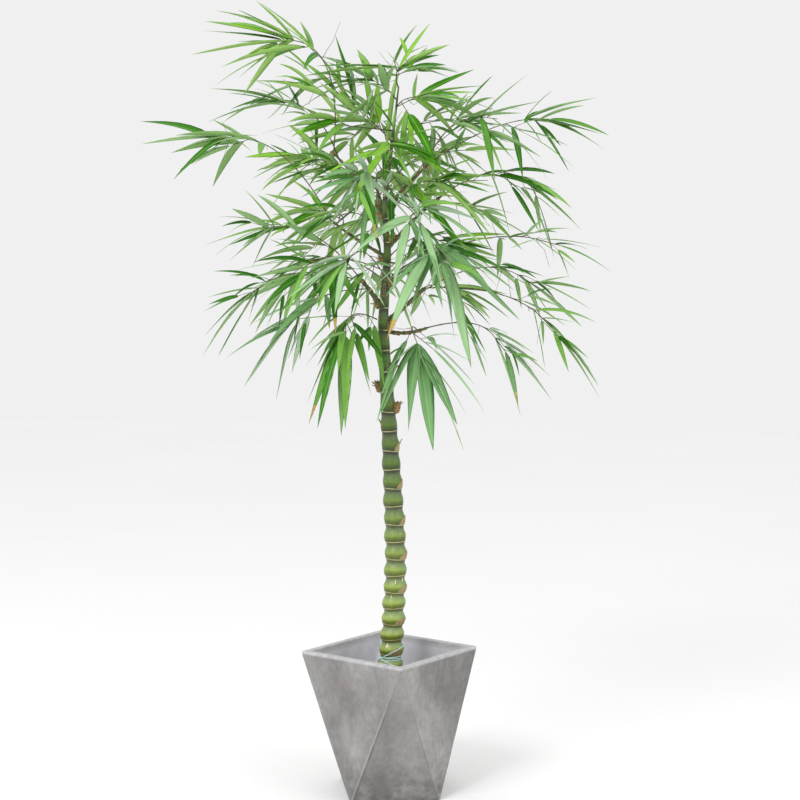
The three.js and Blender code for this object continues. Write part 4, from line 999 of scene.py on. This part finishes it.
# Foliage: every mass is a stem that arrives at its hub, twigs to both sides near its end, and a fan
# of leaves on each twig, by the rule and the seeds of the part's source. Here it goes on to finer
# twigs with smaller leaves, bare wiry twigs and rolled young leaves, inside the same space.
MASSES = (
    # name, limb, place along it, hub as direction in plan, reach and height, heading and pitch of
    # its sprays, twigs, leaves on each, their length, seed, and the green of its leaves
    ("leaves_top", "culm", 1557, -4, 22, 1600, 20, 34, 4, 3, 145, 9, "vivid"),
    ("leaves_top_long", "culm", 1530, 176, 34, 1566, 178, 0, 3, 3, 165, 3, "mid"),
    ("leaves_top_left_spikes", "culm", 1440, 140, 92, 1520, 160, 36, 3, 3, 145, 5, "vivid"),
    ("leaves_top_front", "culm", 1500, -66, 108, 1530, -28, 2, 4, 4, 150, 10, "vivid"),
    ("leaves_crown_left", "culm", 1465, 168, 112, 1478, 172, 6, 4, 4, 135, 10, "vivid"),
    ("leaves_crown_right", "culm", 1455, 8, 112, 1488, 12, 4, 4, 4, 135, 6, "mid"),
    ("leaves_crown_front", "culm", 1370, -96, 112, 1432, -100, -8, 4, 4, 145, 4, "vivid"),
    ("leaves_crown_back", "culm", 1335, 100, 118, 1400, 100, -6, 4, 4, 140, 7, "deep"),
    ("leaves_top_left", "bough_left_high", 1, -171, 212, 1652, 178, 8, 5, 3, 182, 9, "vivid"),
    ("leaves_high_left", "bough_left_high", 0.9, 164, 232, 1528, 176, 0, 3, 3, 152, 3, "mid"),
    ("leaves_far_left", "bough_left_middle", 1, 173, 345, 1450, 176, -4, 3, 3, 178, 9, "mid"),
    ("leaves_inner_left_high", "bough_left_high", 0.6, 151, 172, 1405, 168, 8, 4, 4, 132, 4, "vivid"),
    ("leaves_inner_left", "bough_left_middle", 0.8, 133, 190, 1290, 150, -8, 4, 4, 132, 10, "vivid"),
    ("leaves_left", "bough_left_low", 1, -170, 258, 1256, -174, -6, 5, 4, 128, 10, "mid"),
    ("leaves_left_low", "bough_left_low", 0.85, -179, 286, 1124, 180, -38, 4, 3, 128, 9, "mid"),
    ("leaves_left_lower", "bough_left_low", 0.6, 158, 206, 1066, 170, -50, 3, 3, 150, 9, "glaucous"),
    ("leaves_left_hanging", "culm", 1046, -158, 108, 1050, -150, -64, 4, 3, 165, 6, "mid"),
    ("leaves_heart_left", "culm", 1230, -158, 108, 1284, -166, -14, 4, 4, 130, 17, "deep"),
    ("leaves_left_front", "bough_front_low", 0.8, -146, 200, 1186, -152, -22, 4, 4, 138, 7, "mid"),
    ("leaves_front_left", "bough_front_low", 1, -117, 236, 1192, -124, -34, 3, 4, 150, 1, "glaucous"),
    ("leaves_front_high", "bough_front_high", 1, -114, 206, 1360, -122, -14, 4, 3, 182, 7, "glaucous"),
    ("leaves_front", "bough_front_high", 0.85, -84, 258, 1268, -84, -24, 3, 4, 150, 4, "glaucous"),
    ("leaves_front_low_right", "bough_right_lowest", 0.8, -78, 178, 1010, -62, -54, 4, 3, 172, 7, "glaucous"),
    ("leaves_front_right", "bough_right_middle", 1, -68, 214, 1206, -50, -36, 5, 4, 182, 9, "glaucous"),
    ("leaves_heart_right", "culm", 1186, -22, 112, 1238, -20, -18, 4, 4, 135, 24, "deep"),
    ("leaves_right_lowest", "bough_right_lowest", 1, -16, 232, 1016, -14, -56, 3, 3, 140, 3, "glaucous"),
    ("leaves_far_right_low", "bough_right_low", 1, -4, 338, 1056, 2, -44, 3, 3, 122, 10, "mid"),
    ("leaves_right_low", "bough_right_low", 0.8, 14, 310, 1150, 8, -28, 3, 3, 130, 9, "mid"),
    ("leaves_far_right", "bough_right_middle", 0.85, -8, 320, 1230, -4, -12, 3, 3, 122, 8, "mid"),
    ("leaves_right", "bough_right_upper", 1, -15, 284, 1362, -10, -30, 4, 3, 132, 10, "mid"),
    ("leaves_high_right", "bough_right_high", 1, -3, 296, 1490, 0, 8, 3, 3, 148, 7, "mid"),
    ("leaves_high_right_front", "bough_right_high", 0.8, -32, 214, 1488, -26, -2, 4, 3, 140, 5, "mid"),
    ("leaves_inner_right_high", "bough_right_high", 0.6, 26, 150, 1424, 24, 0, 4, 4, 136, 6, "vivid"),
    ("leaves_inner_right", "bough_right_upper", 0.75, 20, 204, 1302, 14, -20, 3, 4, 130, 33, "mid"),
    ("leaves_inner_front", "bough_front_high", 0.6, -54, 128, 1352, -48, -8, 4, 4, 146, 34, "vivid"),
    ("leaves_inner_right_low", "bough_right_low", 0.6, 40, 186, 1110, 34, -42, 3, 4, 138, 35, "deep"),
    ("leaves_back_low", "bough_back_low", 1, 92, 240, 1160, 92, -34, 4, 4, 146, 36, "deep"),
    ("leaves_back_right", "bough_back_low", 0.85, 56, 246, 1206, 52, -22, 4, 4, 142, 37, "mid"),
    ("leaves_back_left", "bough_back_low", 0.7, 128, 276, 1166, 132, -30, 4, 4, 142, 38, "mid"),
    ("leaves_back", "bough_back_high", 1, 84, 285, 1320, 84, -16, 4, 4, 146, 48, "mid"),
    ("leaves_back_high_left", "bough_back_high", 0.85, 124, 268, 1400, 128, -4, 4, 4, 140, 40, "vivid"),
    ("leaves_back_high_right", "bough_back_high", 0.7, 54, 218, 1430, 50, 0, 4, 4, 140, 41, "mid"),
    ("leaves_back_top", "culm", 1400, 92, 158, 1500, 92, 8, 3, 4, 138, 42, "vivid"),
)
TWIG_PITCH = 48.0
# A stem bends this share of its run before the hub, and its twigs stand on at most this much of it.
STEM_BEND = 0.42
TWIGGED_SHARE = 0.72
# The leaves keep to a ball. Its centre lies ahead of the hub by this share of a leaf's length, and
# its radius grows with that length.
ROOM_AHEAD = 0.35
ROOM_RADIUS = 60.0
ROOM_GAIN = 1.05
# Long leaves that lead each outer spray: how far across and above the hub each tip is.
LEADERS = {
    "leaves_top": ((70, 100), (115, -20), (-180, 5), (-210, -20), (-30, 40), (-30, -195)),
    "leaves_top_left_spikes": ((-40, 160), (-65, 90), (-10, 100)),
    "leaves_top_front": ((150, 25), (100, -35), (85, -75), (50, 25)),
    "leaves_top_left": ((-190, 40), (-170, 60), (-120, 65), (-220, -35), (-120, -80), (-65, -30), (-80, 80)),
    "leaves_high_left": ((-165, 30), (-170, -45), (-45, 50), (-35, -35)),
    "leaves_far_left": ((-195, -15), (-130, -35), (-90, -60), (-20, -50), (60, 5), (45, -30)),
    "leaves_left": ((-150, -40), (-125, 20), (-100, -75), (-65, 80), (-50, -90)),
    "leaves_left_low": ((-110, -20), (-120, -105), (-90, -150), (-25, -75)),
    "leaves_left_lower": ((-125, -165), (-55, -195), (-105, -55), (-20, -95)),
    "leaves_left_hanging": (
        (-85, -175), (-85, -220), (-10, -250), (-5, -230), (-65, -95), (30, -80), (55, -160)),
    "leaves_front_left": ((70, -105), (-65, -155), (-135, -85)),
    "leaves_front_high": ((-95, -65), (-80, -130), (150, -150)),
    "leaves_front_low_right": ((-80, -150), (-75, -65), (-20, -185), (30, -225), (80, -170), (95, -225)),
    "leaves_front_right": ((-115, -65), (-65, -120), (30, -190), (160, -145), (75, 40), (60, -245)),
    "leaves_right_lowest": ((60, -175), (120, -85), (125, -140)),
    "leaves_far_right_low": ((75, -10), (60, -55), (115, -120), (130, -180)),
    "leaves_right_low": ((175, -80), (80, -100), (155, -120)),
    "leaves_far_right": ((155, -20), (95, -70), (-55, -20)),
    "leaves_right": ((120, -95), (75, -165), (90, -30)),
    "leaves_high_right": ((165, 50), (175, -30), (65, 65), (40, -50)),
    "leaves_high_right_front": ((100, 90), (130, 35), (25, -135), (-55, -35)),
}
LEADER_WIDTH = {"vivid": 0.138, "mid": 0.138, "deep": 0.135, "glaucous": 0.19}
# The share of its leaves that a spray goes without, where sky is seen through it. A spray with
# leading leaves goes without some of its others in any case.
SKY_SHARE = {
    "leaves_right": 0.55, "leaves_right_low": 0.6, "leaves_right_lowest": 0.5,
    "leaves_far_right": 0.5, "leaves_far_right_low": 0.6, "leaves_inner_right_low": 0.4,
    "leaves_back_right": 0.35, "leaves_left_low": 0.45, "leaves_left_lower": 0.5,
    "leaves_back_low": 0.35, "leaves_inner_right": 0.25, "leaves_inner_right_high": 0.25,
}
LED_SKY_SHARE = 0.35
# The green that some leaves of a spray have instead of its own, and how many of them are so, are
# old, or have a dried tip.
NEXT_GREEN = {"vivid": "mid", "mid": "deep", "deep": "vivid", "glaucous": "mid"}
NEXT_GREEN_SHARE = 0.26
OLD_SHARE = 0.5
DRY_SHARE = 0.05
# How many of a spray's middle leaves are still rolled up, and how many of its twigs carry a finer
# twig with two small leaves, or a bare whip.
ROLLED_SHARE = 0.3
TWIGLET_SHARE = 0.8
WHIP_SHARE = 0.4
STEM_WIRE = (1.35, 0.85)
TWIG_WIRE = (0.8, 0.55)
# Where along a blade its rows lie, and where across it its points lie, above and on the underside.
LEAF_STATIONS = (0.0, 0.035, 0.1, 0.2, 0.34, 0.5, 0.66, 0.8, 0.91, 1.0)
UPPER_PLACES = (-1.0, -0.52, -0.07, 0.07, 0.52, 1.0)
LOWER_PLACES = (0.5, 0.0, -0.5)
LEAF_WIDTH = 0.13
TIP_THICKNESS = 0.25
THICKER_AT_FOOT = 0.35
# A dried tip begins past this share of the blade.
DRY_FROM = 0.68
# The places of a kind of leaf's materials in its piece. The young blade's is the first.
RIB_FINISH = 1
UNDER_FINISH = 2
OLD_FINISH = 3
DRY_FINISH = 4


def turn_aside(direction, angle, roll):
    """Turns a direction aside by an angle, in a plane that is rolled from the level."""
    level, rise = frame_of(direction)
    return unit(
        direction * math.cos(angle)
        + level * math.sin(angle) * math.cos(roll)
        + rise * math.sin(angle) * math.sin(roll)
    )


def leaf(base, bow, tip, length, tilt, width, fold, twist, blade_finish, dry):
    """One closed blade: lance-shaped, folded along its rib, twisted, and narrowed to a long point."""
    centre = [bezier(base, bow, tip, t) for t in LEAF_STATIONS]
    level, rise = frame_of(unit(tip - base))
    points = []
    for i, t in enumerate(LEAF_STATIONS[:-1]):
        along = unit(centre[i + 1] - centre[max(i - 1, 0)])
        roll = tilt + twist * (t - 0.35)
        across = level * math.cos(roll) + rise * math.sin(roll)
        across = unit(across - along * float(across @ along))
        above = np.cross(along, across)
        half = length * width / 2 * max(math.sin(math.pi * t**0.6), 0.0) ** 0.9 + 0.5 * (1 - t) ** 6
        thick = TIP_THICKNESS + THICKER_AT_FOOT * (1 - t)
        opened = fold * (0.5 + 0.5 * math.sin(math.pi * min(1.0, t + 0.2)))
        for k, place in enumerate(UPPER_PLACES + LOWER_PLACES):
            sunk = thick * (1 - 0.6 * abs(place)) if k >= len(UPPER_PLACES) else 0.0
            lift = half * abs(place) * math.sin(opened) - sunk
            points.append(centre[i] + across * half * place * math.cos(opened) + above * lift)
    sides = len(UPPER_PLACES) + len(LOWER_PLACES)
    kinds = [blade_finish] * 2 + [RIB_FINISH] + [blade_finish] * 2 + [UNDER_FINISH] * 4
    rows = len(LEAF_STATIONS) - 1
    *faces, foot_face, last_face = tube(rows, sides)
    faces += [(a, b, len(points)) for a, b in zip(last_face, (*last_face[1:], last_face[0]))]
    points.append(centre[-1])
    finishes = []
    for t in LEAF_STATIONS[:-1]:
        finishes += [DRY_FINISH] * sides if dry and t > DRY_FROM else kinds
    return points, [*faces, foot_face], [*finishes, UNDER_FINISH]


def clears_culm(base, bow, tip):
    """Whether a leaf stays out of the culm."""
    for t in (0.25, 0.5, 0.75, 1.0):
        point = bezier(base, bow, tip, t)
        away = np.linalg.norm((point - culm_at(point[2]))[:2])
        if point[2] < CULM_TIP and away < culm_radius(point[2]) + 3:
            return False
    return True


def wire(path, radii, spacing=34.0):
    """A thin twig with a slight joint every so often."""
    lengths = [0.0]
    for a, b in zip(path, path[1:]):
        lengths.append(lengths[-1] + float(np.linalg.norm(b - a)))
    return limb_skin(path, [noded(d, r, spacing) for d, r in zip(lengths, radii)], 6)


def tapered(thickness, shares):
    """The radii of a twig at shares of its length, from its thickness at both ends."""
    return [thickness[0] + (thickness[1] - thickness[0]) * s for s in shares]


def grow_mass(row, twig_parts, leaves_by_green):
    """Grows one mass. draw repeats the rule of the part's source; fine draws what is added here."""
    name, limb, along, azimuth, reach, height, heading, pitch, twig_count, leaf_count, size, seed, green = row
    draw = draws(seed)
    fine = draws(seed * 31 + 7)
    start = limb_curves[limb](along)
    hub = spoke(math.radians(azimuth), reach, height)
    aim = spoke(math.radians(heading), math.cos(math.radians(pitch)), math.sin(math.radians(pitch)))
    run = float(np.linalg.norm(start - hub))
    bend = hub - aim * STEM_BEND * run
    room = hub + aim * ROOM_AHEAD * size
    room_radius = ROOM_RADIUS + ROOM_GAIN * size
    pitch_share = min(TWIG_PITCH / run, TWIGGED_SHARE / (twig_count - 1))
    stem_steps = max(10, int(run / 7))
    first = (culm_radius(along) - 1.0) / run if limb == "culm" else 0.0
    shares = [first + (1 - first) * i / stem_steps for i in range(stem_steps + 1)]
    twig_parts.append(wire([bezier(start, bend, hub, s) for s in shares], tapered(STEM_WIRE, shares)))
    sky_share = SKY_SHARE.get(name, LED_SKY_SHARE if name in LEADERS else 0.0)

    def blade(base, bow, tip, length, tilt, width=LEAF_WIDTH, inside=None):
        fold = fine(0.12, 0.5)
        twist = fine(-0.8, 0.8)
        broad = width * fine(0.85, 1.15)
        if inside is None:
            inside = np.linalg.norm(tip - room) <= room_radius
        shade = NEXT_GREEN[green] if fine(0, 1) < NEXT_GREEN_SHARE else green
        age = OLD_FINISH if fine(0, 1) < OLD_SHARE else 0
        dry = fine(0, 1) < DRY_SHARE
        if inside and clears_culm(base, bow, tip):
            leaves_by_green[shade].append(leaf(base, bow, tip, length, tilt, broad, fold, twist, age, dry))

    # The leading leaves come first, each on a twiglet of its own where the hub is too far away.
    for across, above in LEADERS.get(name, ()):
        gap = math.hypot(across, above)
        away = np.array([across, gap * (0.3 * aim[1] + fine(-0.12, 0.12)), above])
        blade_length = min(gap, size * fine(1.1, 1.3))
        tip = hub + away
        base = hub + away * (1 - blade_length / gap) + UP * (gap - blade_length) * 0.12
        if gap > blade_length + 6:
            twig_parts.append(wire([hub, (hub + base) / 2 + UP * 3, base], [0.75, 0.65, 0.5], 16))
        bow = (base + tip) / 2 + UP * blade_length * fine(0.02, 0.13)
        blade(base, bow, tip, blade_length, fine(-0.35, 0.35), LEADER_WIDTH[green], True)

    # Then the rule's twigs with their fans, and finer twigs and bare whips beside them.
    for i in range(twig_count):
        last = i == twig_count - 1
        share = 1 - (twig_count - 1 - i) * pitch_share
        side = -1 if i % 2 else 1
        root = bezier(start, bend, hub, share)
        angle = draw(-0.15, 0.15) if last else side * draw(0.45, 1.05)
        direction = turn_aside(aim, angle, draw(-0.9, 0.9))
        direction = unit(direction + UP * draw(-0.12, 0.12))
        length = draw(26, 58)
        end = root + direction * length
        roll = draw(-1.25, 1.25)
        count = leaf_count + (1 if draw(0, 1) < 0.4 else 0)
        steps = (0, 0.25, 0.5, 0.75, 1)
        twig_parts.append(wire([root + direction * length * s for s in steps], tapered(TWIG_WIRE, steps), 14))
        for j in range(leaf_count + 1):
            seat = 1 - 0.62 * (1 - j / (count - 1))
            middle = j == count - 1
            hand = -1 if (i + j) % 2 else 1
            fan = draw(-0.14, 0.14) if middle else hand * draw(0.32, 0.95)
            heft = size * draw(0.74, 1.1) * (1.06 if middle else 1)
            heading_out = turn_aside(direction, fan, roll + draw(-0.3, 0.3))
            droop = draw(0.04, 0.3)
            tilt = draw(-0.9, 0.9)
            if j >= count:
                continue
            base = root + (end - root) * seat
            tip = base + heading_out * heft * 0.97 - UP * heft * droop
            bow = base + heading_out * heft * 0.5
            rolled = middle and fine(0, 1) < ROLLED_SHARE
            slim = 0.3 if rolled else 0.9 if name in LEADERS else 1.0
            if fine(0, 1) < sky_share:
                continue
            blade(base, bow, tip, heft, tilt, LEAF_WIDTH * slim)
        if fine(0, 1) < TWIGLET_SHARE:
            twiglet = turn_aside(direction, fine(0.5, 1.0) * (-side), fine(-1.2, 1.2))
            spot = root + direction * length * fine(0.3, 0.6)
            stop = spot + twiglet * fine(18, 42)
            twig_parts.append(wire([spot, (spot + stop) / 2 + UP, stop], [0.6, 0.5, 0.4], 12))
            for j in range(2):
                small = size * fine(0.4, 0.66)
                outward = turn_aside(twiglet, fine(0.1, 0.7) * (1 if j else -1), fine(-1.2, 1.2))
                tip = stop + outward * small - UP * small * fine(0.05, 0.35)
                blade(stop, stop + outward * small * 0.5, tip, small, fine(-0.9, 0.9))
        if fine(0, 1) < WHIP_SHARE:
            whip = turn_aside(direction, fine(0.6, 1.3) * side, fine(-1.0, 1.0))
            span = fine(40, 90)
            path = [root + whip * span * s + UP * span * 0.35 * s * s * fine(-1, 1) for s in (0, 0.3, 0.6, 1)]
            if np.linalg.norm(path[-1] - room) <= room_radius:
                twig_parts.append(wire(path, [0.55, 0.5, 0.42, 0.3], 22))


# Bamboo leaves: thin satin blades with close parallel veins, drawn coarser than they are so that
# they show. They run from vivid young growth to old blue-grey leaves; the rib is a paler line and
# the underside is greyer.
def leaf_green(name, hex_colour, roughness):
    material, tree, shader = new_material(name, {"Roughness": roughness, "Specular IOR Level": 0.12})
    patches = grain(tree, 70, 3.0, stops=[(0.35, 0.44), (0.65, 0.56)])
    veins = grain(tree, 1.6, 2.0, stops=[(0.3, 0.45), (0.7, 0.55)])
    blade_colour = layered(tree, hex_colour, [(0.6, patches, "OVERLAY"), (0.5, veins, "OVERLAY")])
    tree.links.new(blade_colour, shader.inputs["Base Color"])
    add_relief(tree, shader, grain(tree, 1.4, 2.0), 0.06)
    return material


# The greens of each kind of leaf: a young blade, its rib, its underside, and an old blade.
LEAF_FINISHES = {
    "vivid": ("#8ac23e", "#84ba4e", "#9cc46c", "#3c8008"),
    "mid": ("#7eb44e", "#78aa5a", "#98be7e", "#3a7a1c"),
    "deep": ("#60983a", "#5c8c3e", "#84ac66", "#2c660e"),
    "glaucous": ("#9cc48c", "#94bc84", "#b2ccaa", "#76a468"),
}

# Thin wiry twigs: dark olive and brown, hardly glossy.
wiry = grained_material("wiry_twig_skin", {"Roughness": 0.6}, (
    20, 4.0, (1, 1, 1), [(0.3, "#33301c"), (0.55, "#5a5631"), (0.78, "#7c8045")]), (1.2, 3.0), 0.1)

# A leaf tip that has dried in the sun: straw yellow to light brown, papery.
dry_tip = grained_material("sun_dried_leaf_tip", {"Roughness": 0.75}, (
    14, 4.0, (1, 1, 1), [(0.3, "#93773a"), (0.5, "#b8a050"), (0.7, "#c9bc6c")]), (1.4, 3.0), 0.15)

twig_parts = []
leaves_by_green = {green: [] for green in LEAF_FINISHES}
for row in MASSES:
    grow_mass(row, twig_parts, leaves_by_green)
twigs = make_piece("wiry_twigs", twig_parts, [wiry])
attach(twigs, "root")
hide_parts(*[row[0] for row in MASSES])
for green, parts in leaves_by_green.items():
    materials = []
    for side, colour in zip(("young_leaf", "leaf_rib", "leaf_underside", "old_leaf"), LEAF_FINISHES[green]):
        materials.append(leaf_green(f"{green}_{side}", colour, 0.55 if side == "leaf_underside" else 0.42))
    foliage = make_piece(f"{green}_leaves", parts, materials + [dry_tip])
    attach(foliage, "root")
    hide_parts(*[row[0] for row in MASSES])


# The floor and the light: a plain pale floor, a wide soft light from the upper left and a weaker
# one from the right, as in a bright white room.
FLOOR_HALF = 9.0
floor_material = grained_material("pale_matt_floor", {"Roughness": 0.9}, (
    900, 2.0, (1, 1, 1), [(0.3, "#fdfdfd"), (0.7, "#ffffff")]))
floor_mesh = bpy.data.meshes.new("floor")
floor_corners = [(FLOOR_HALF * x, FLOOR_HALF * y, 0) for x, y in ((-1, -1), (1, -1), (1, 1), (-1, 1))]
floor_mesh.from_pydata(floor_corners, [], [(0, 1, 2, 3)])
floor_mesh.materials.append(floor_material)
floor = bpy.data.objects.new("floor", floor_mesh)
bpy.context.scene.collection.objects.link(floor)

world = bpy.data.worlds.new("white_room")
bpy.context.scene.world = world
world.use_nodes = True
background = world.node_tree.nodes["Background"]
background.inputs["Color"].default_value = linear("#f0f0f0")
background.inputs["Strength"].default_value = 1.0
bpy.context.scene.view_settings.view_transform = "Standard"


def softbox(name, place, aim, size, power):
    """A square area light that looks at a point."""
    light = bpy.data.lights.new(name, "AREA")
    light.shape = "SQUARE"
    light.size = size
    light.energy = power
    lamp = bpy.data.objects.new(name, light)
    lamp.location = place
    lamp.rotation_euler = (Vector(aim) - Vector(place)).to_track_quat("-Z", "Y").to_euler()
    bpy.context.scene.collection.objects.link(lamp)


softbox("window_left", (-2.2, -2.4, 3.4), (0, 0, 1.0), 1.6, 70.0)
softbox("fill_right", (2.8, -2.4, 2.4), (0, 0, 1.0), 1.8, 20.0)


# The camera: at the height of the crown's foot, a little to the left of the planter's face.
CAMERA_DOWN = 4.8
CAMERA_TURN = -7.397
camera_data = bpy.data.cameras.new("camera")
camera_data.lens = 81.9
camera_data.sensor_width = 36.0
camera = bpy.data.objects.new("camera", camera_data)
camera.location = (-0.4923, -3.9696, 1.212)
camera.rotation_euler = (math.radians(90 - CAMERA_DOWN), 0.0, math.radians(CAMERA_TURN))
bpy.context.scene.collection.objects.link(camera)
bpy.context.scene.camera = camera
